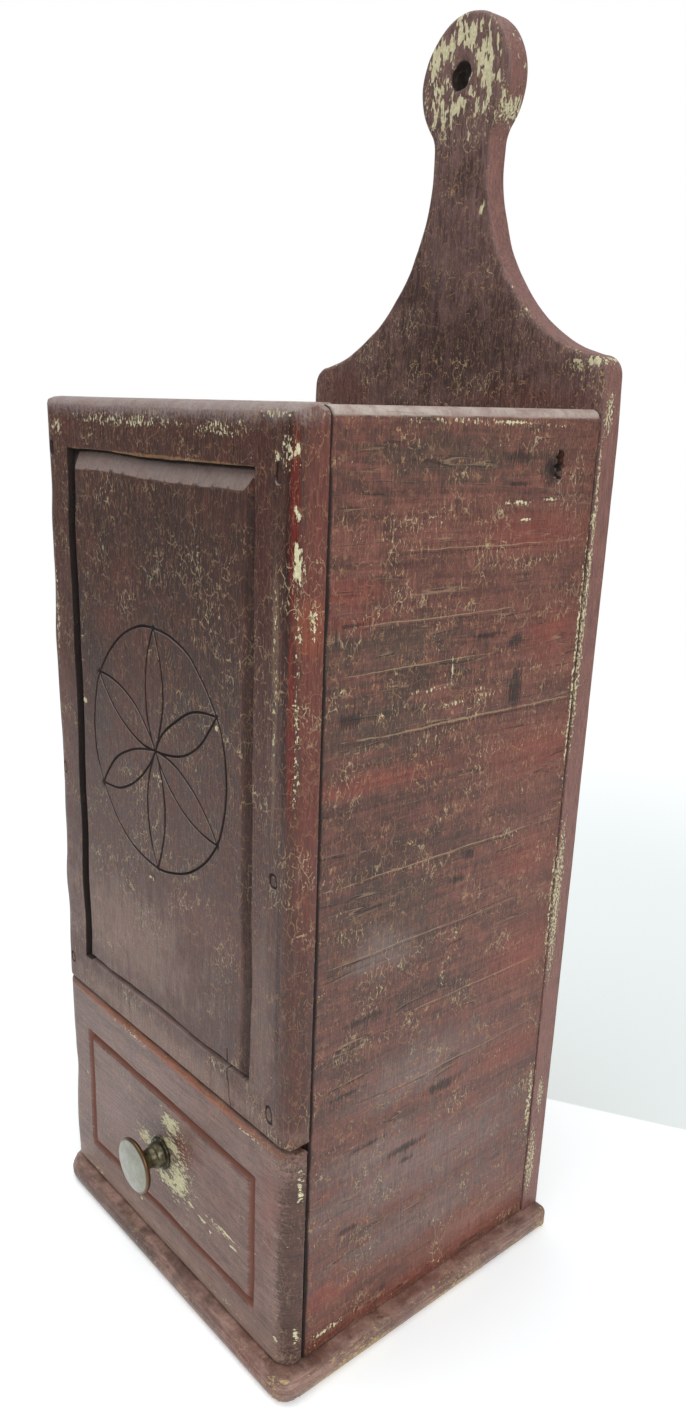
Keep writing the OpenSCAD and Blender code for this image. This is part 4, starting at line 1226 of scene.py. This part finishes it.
RUST = (srgb(40, 36, 34), srgb(96, 66, 48))
PAINTED_RUST = (srgb(48, 32, 28), srgb(96, 58, 50))
paint_nodes(("well_floor", "drawer_bottom", "drawer_back"), wood_material("bare_wood_across", "x"), 0.35)
paint_nodes(("drawer_left_side", "drawer_right_side"), wood_material("bare_wood_along", "y"), 0.35)
paint_nodes(("knob_nut",), iron_material("nut_metal", *RUST, 0.55), 0.3)
paint_nodes(("front_nails",), iron_material("painted_iron", *PAINTED_RUST, 0.0), 0.15)
paint_nodes(("back_nails", "base_nails", "floor_nails", "drawer_back_nails", "drawer_bottom_nails"),
            iron_material("old_iron", *RUST, 0.55), 0.15)

# floor, light and camera

# level directions across and along the edge at which the floor's greyer tone starts
TO_BACK = (-0.497, 0.868, 0)
ALONG_EDGE = (0.868, 0.497, 0)
CAMERA = (
    (0.664704, -0.249419, 0.704243, 0.276047),
    (0.745944, 0.168987, -0.644214, -0.226585),
    (0.041672, 0.953537, 0.298379, 0.297847),
    (0, 0, 0, 1),
)


def floor():
    """A round pale floor under the box."""
    radius = 900.0
    sides = 96
    mesh = bpy.data.meshes.new("floor")
    turns = [2 * math.pi * i / sides for i in range(sides)]
    ring = [(radius * math.cos(a) * MM, radius * math.sin(a) * MM, 0) for a in turns]
    mesh.from_pydata(ring, [], [tuple(range(sides))])
    obj = placed("floor", mesh)
    k = Kit(bpy.data.materials.new("pale_floor"))
    colour = k.mix(k.noise(160.0, 2), (0.89, 0.915, 0.93, 1), (0.91, 0.935, 0.945, 1))
    # a slightly greyer tone starts at a straight edge behind the box and fades away from it
    beyond = k.vector("DOT_PRODUCT", k.vector("SUBTRACT", k.p, (25, 128, 0)), TO_BACK, out="Value")
    along = k.vector("DOT_PRODUCT", k.p, ALONG_EDGE, out="Value")
    shade = k.step(beyond, -0.6, 0.6) * k.step(beyond, 800, 0) * k.step(along, -160, 80)
    colour = k.mix(shade, colour, (0.685, 0.725, 0.715, 1))
    glow = k.mix(shade, (1, 1, 1, 1), (0.75, 0.78, 0.77, 1))
    glow = k.mix(k.step(k.length(k.p), 380, 850), glow, (1.75, 1.68, 1.65, 1))
    mesh.materials.append(k.finish(colour, 0.7, Emission_Strength=0.22, Emission_Color=glow))


def area_light(name, at, target, size, power, colour=(1, 1, 1)):
    data = bpy.data.lights.new(name, "AREA")
    data.shape = "RECTANGLE"
    data.size = data.size_y = size * MM
    data.energy = power
    data.color = colour
    obj = placed(name, data)
    obj.location = Vector(at) * MM
    obj.rotation_euler = (Vector(target) - Vector(at)).to_track_quat("-Z", "Y").to_euler()


def world():
    """White behind the box and overhead, dim on the viewer's side, and plain white where it is seen."""
    made = bpy.data.worlds.new("studio")
    bpy.context.scene.world = made
    k = Kit(made, "Generated", 1)
    overhead = k.step(k.z, 0.05, 0.9, 0.10, 0.75)
    behind = k.step(k.vector("DOT_PRODUCT", k.p, TO_BACK, out="Value"), 0.05, 0.45, 0.0, 0.55)
    lit = k.value(0, "ShaderNodeBackground", (0.95, 0.98, 1.0, 1), k.math("MAXIMUM", overhead, behind))
    white = k.value(0, "ShaderNodeBackground", (1.0, 1.0, 1.0, 1))
    seen = k.value("Is Camera Ray", "ShaderNodeLightPath")
    k.node("ShaderNodeOutputWorld", k.value(0, "ShaderNodeMixShader", seen, lit, white))


def camera():
    """The photograph's viewpoint."""
    data = bpy.data.cameras.new("camera")
    data.lens = 26.937
    data.sensor_width = 36.0
    data.shift_x = -0.01694
    data.shift_y = 0.02859
    data.clip_start = 0.01
    obj = placed("camera", data)
    obj.matrix_world = Matrix(CAMERA)
    bpy.context.scene.camera = obj


camera()
floor()
area_light("key", (820, -330, 560), (30, -20, 180), 700, 5.4, (1.0, 0.99, 0.97))
area_light("overhead", (-150, -200, 950), (0, 0, 0), 800, 4.0)
world()
settings = bpy.context.scene.view_settings
settings.view_transform = "Standard"
settings.look = "None"
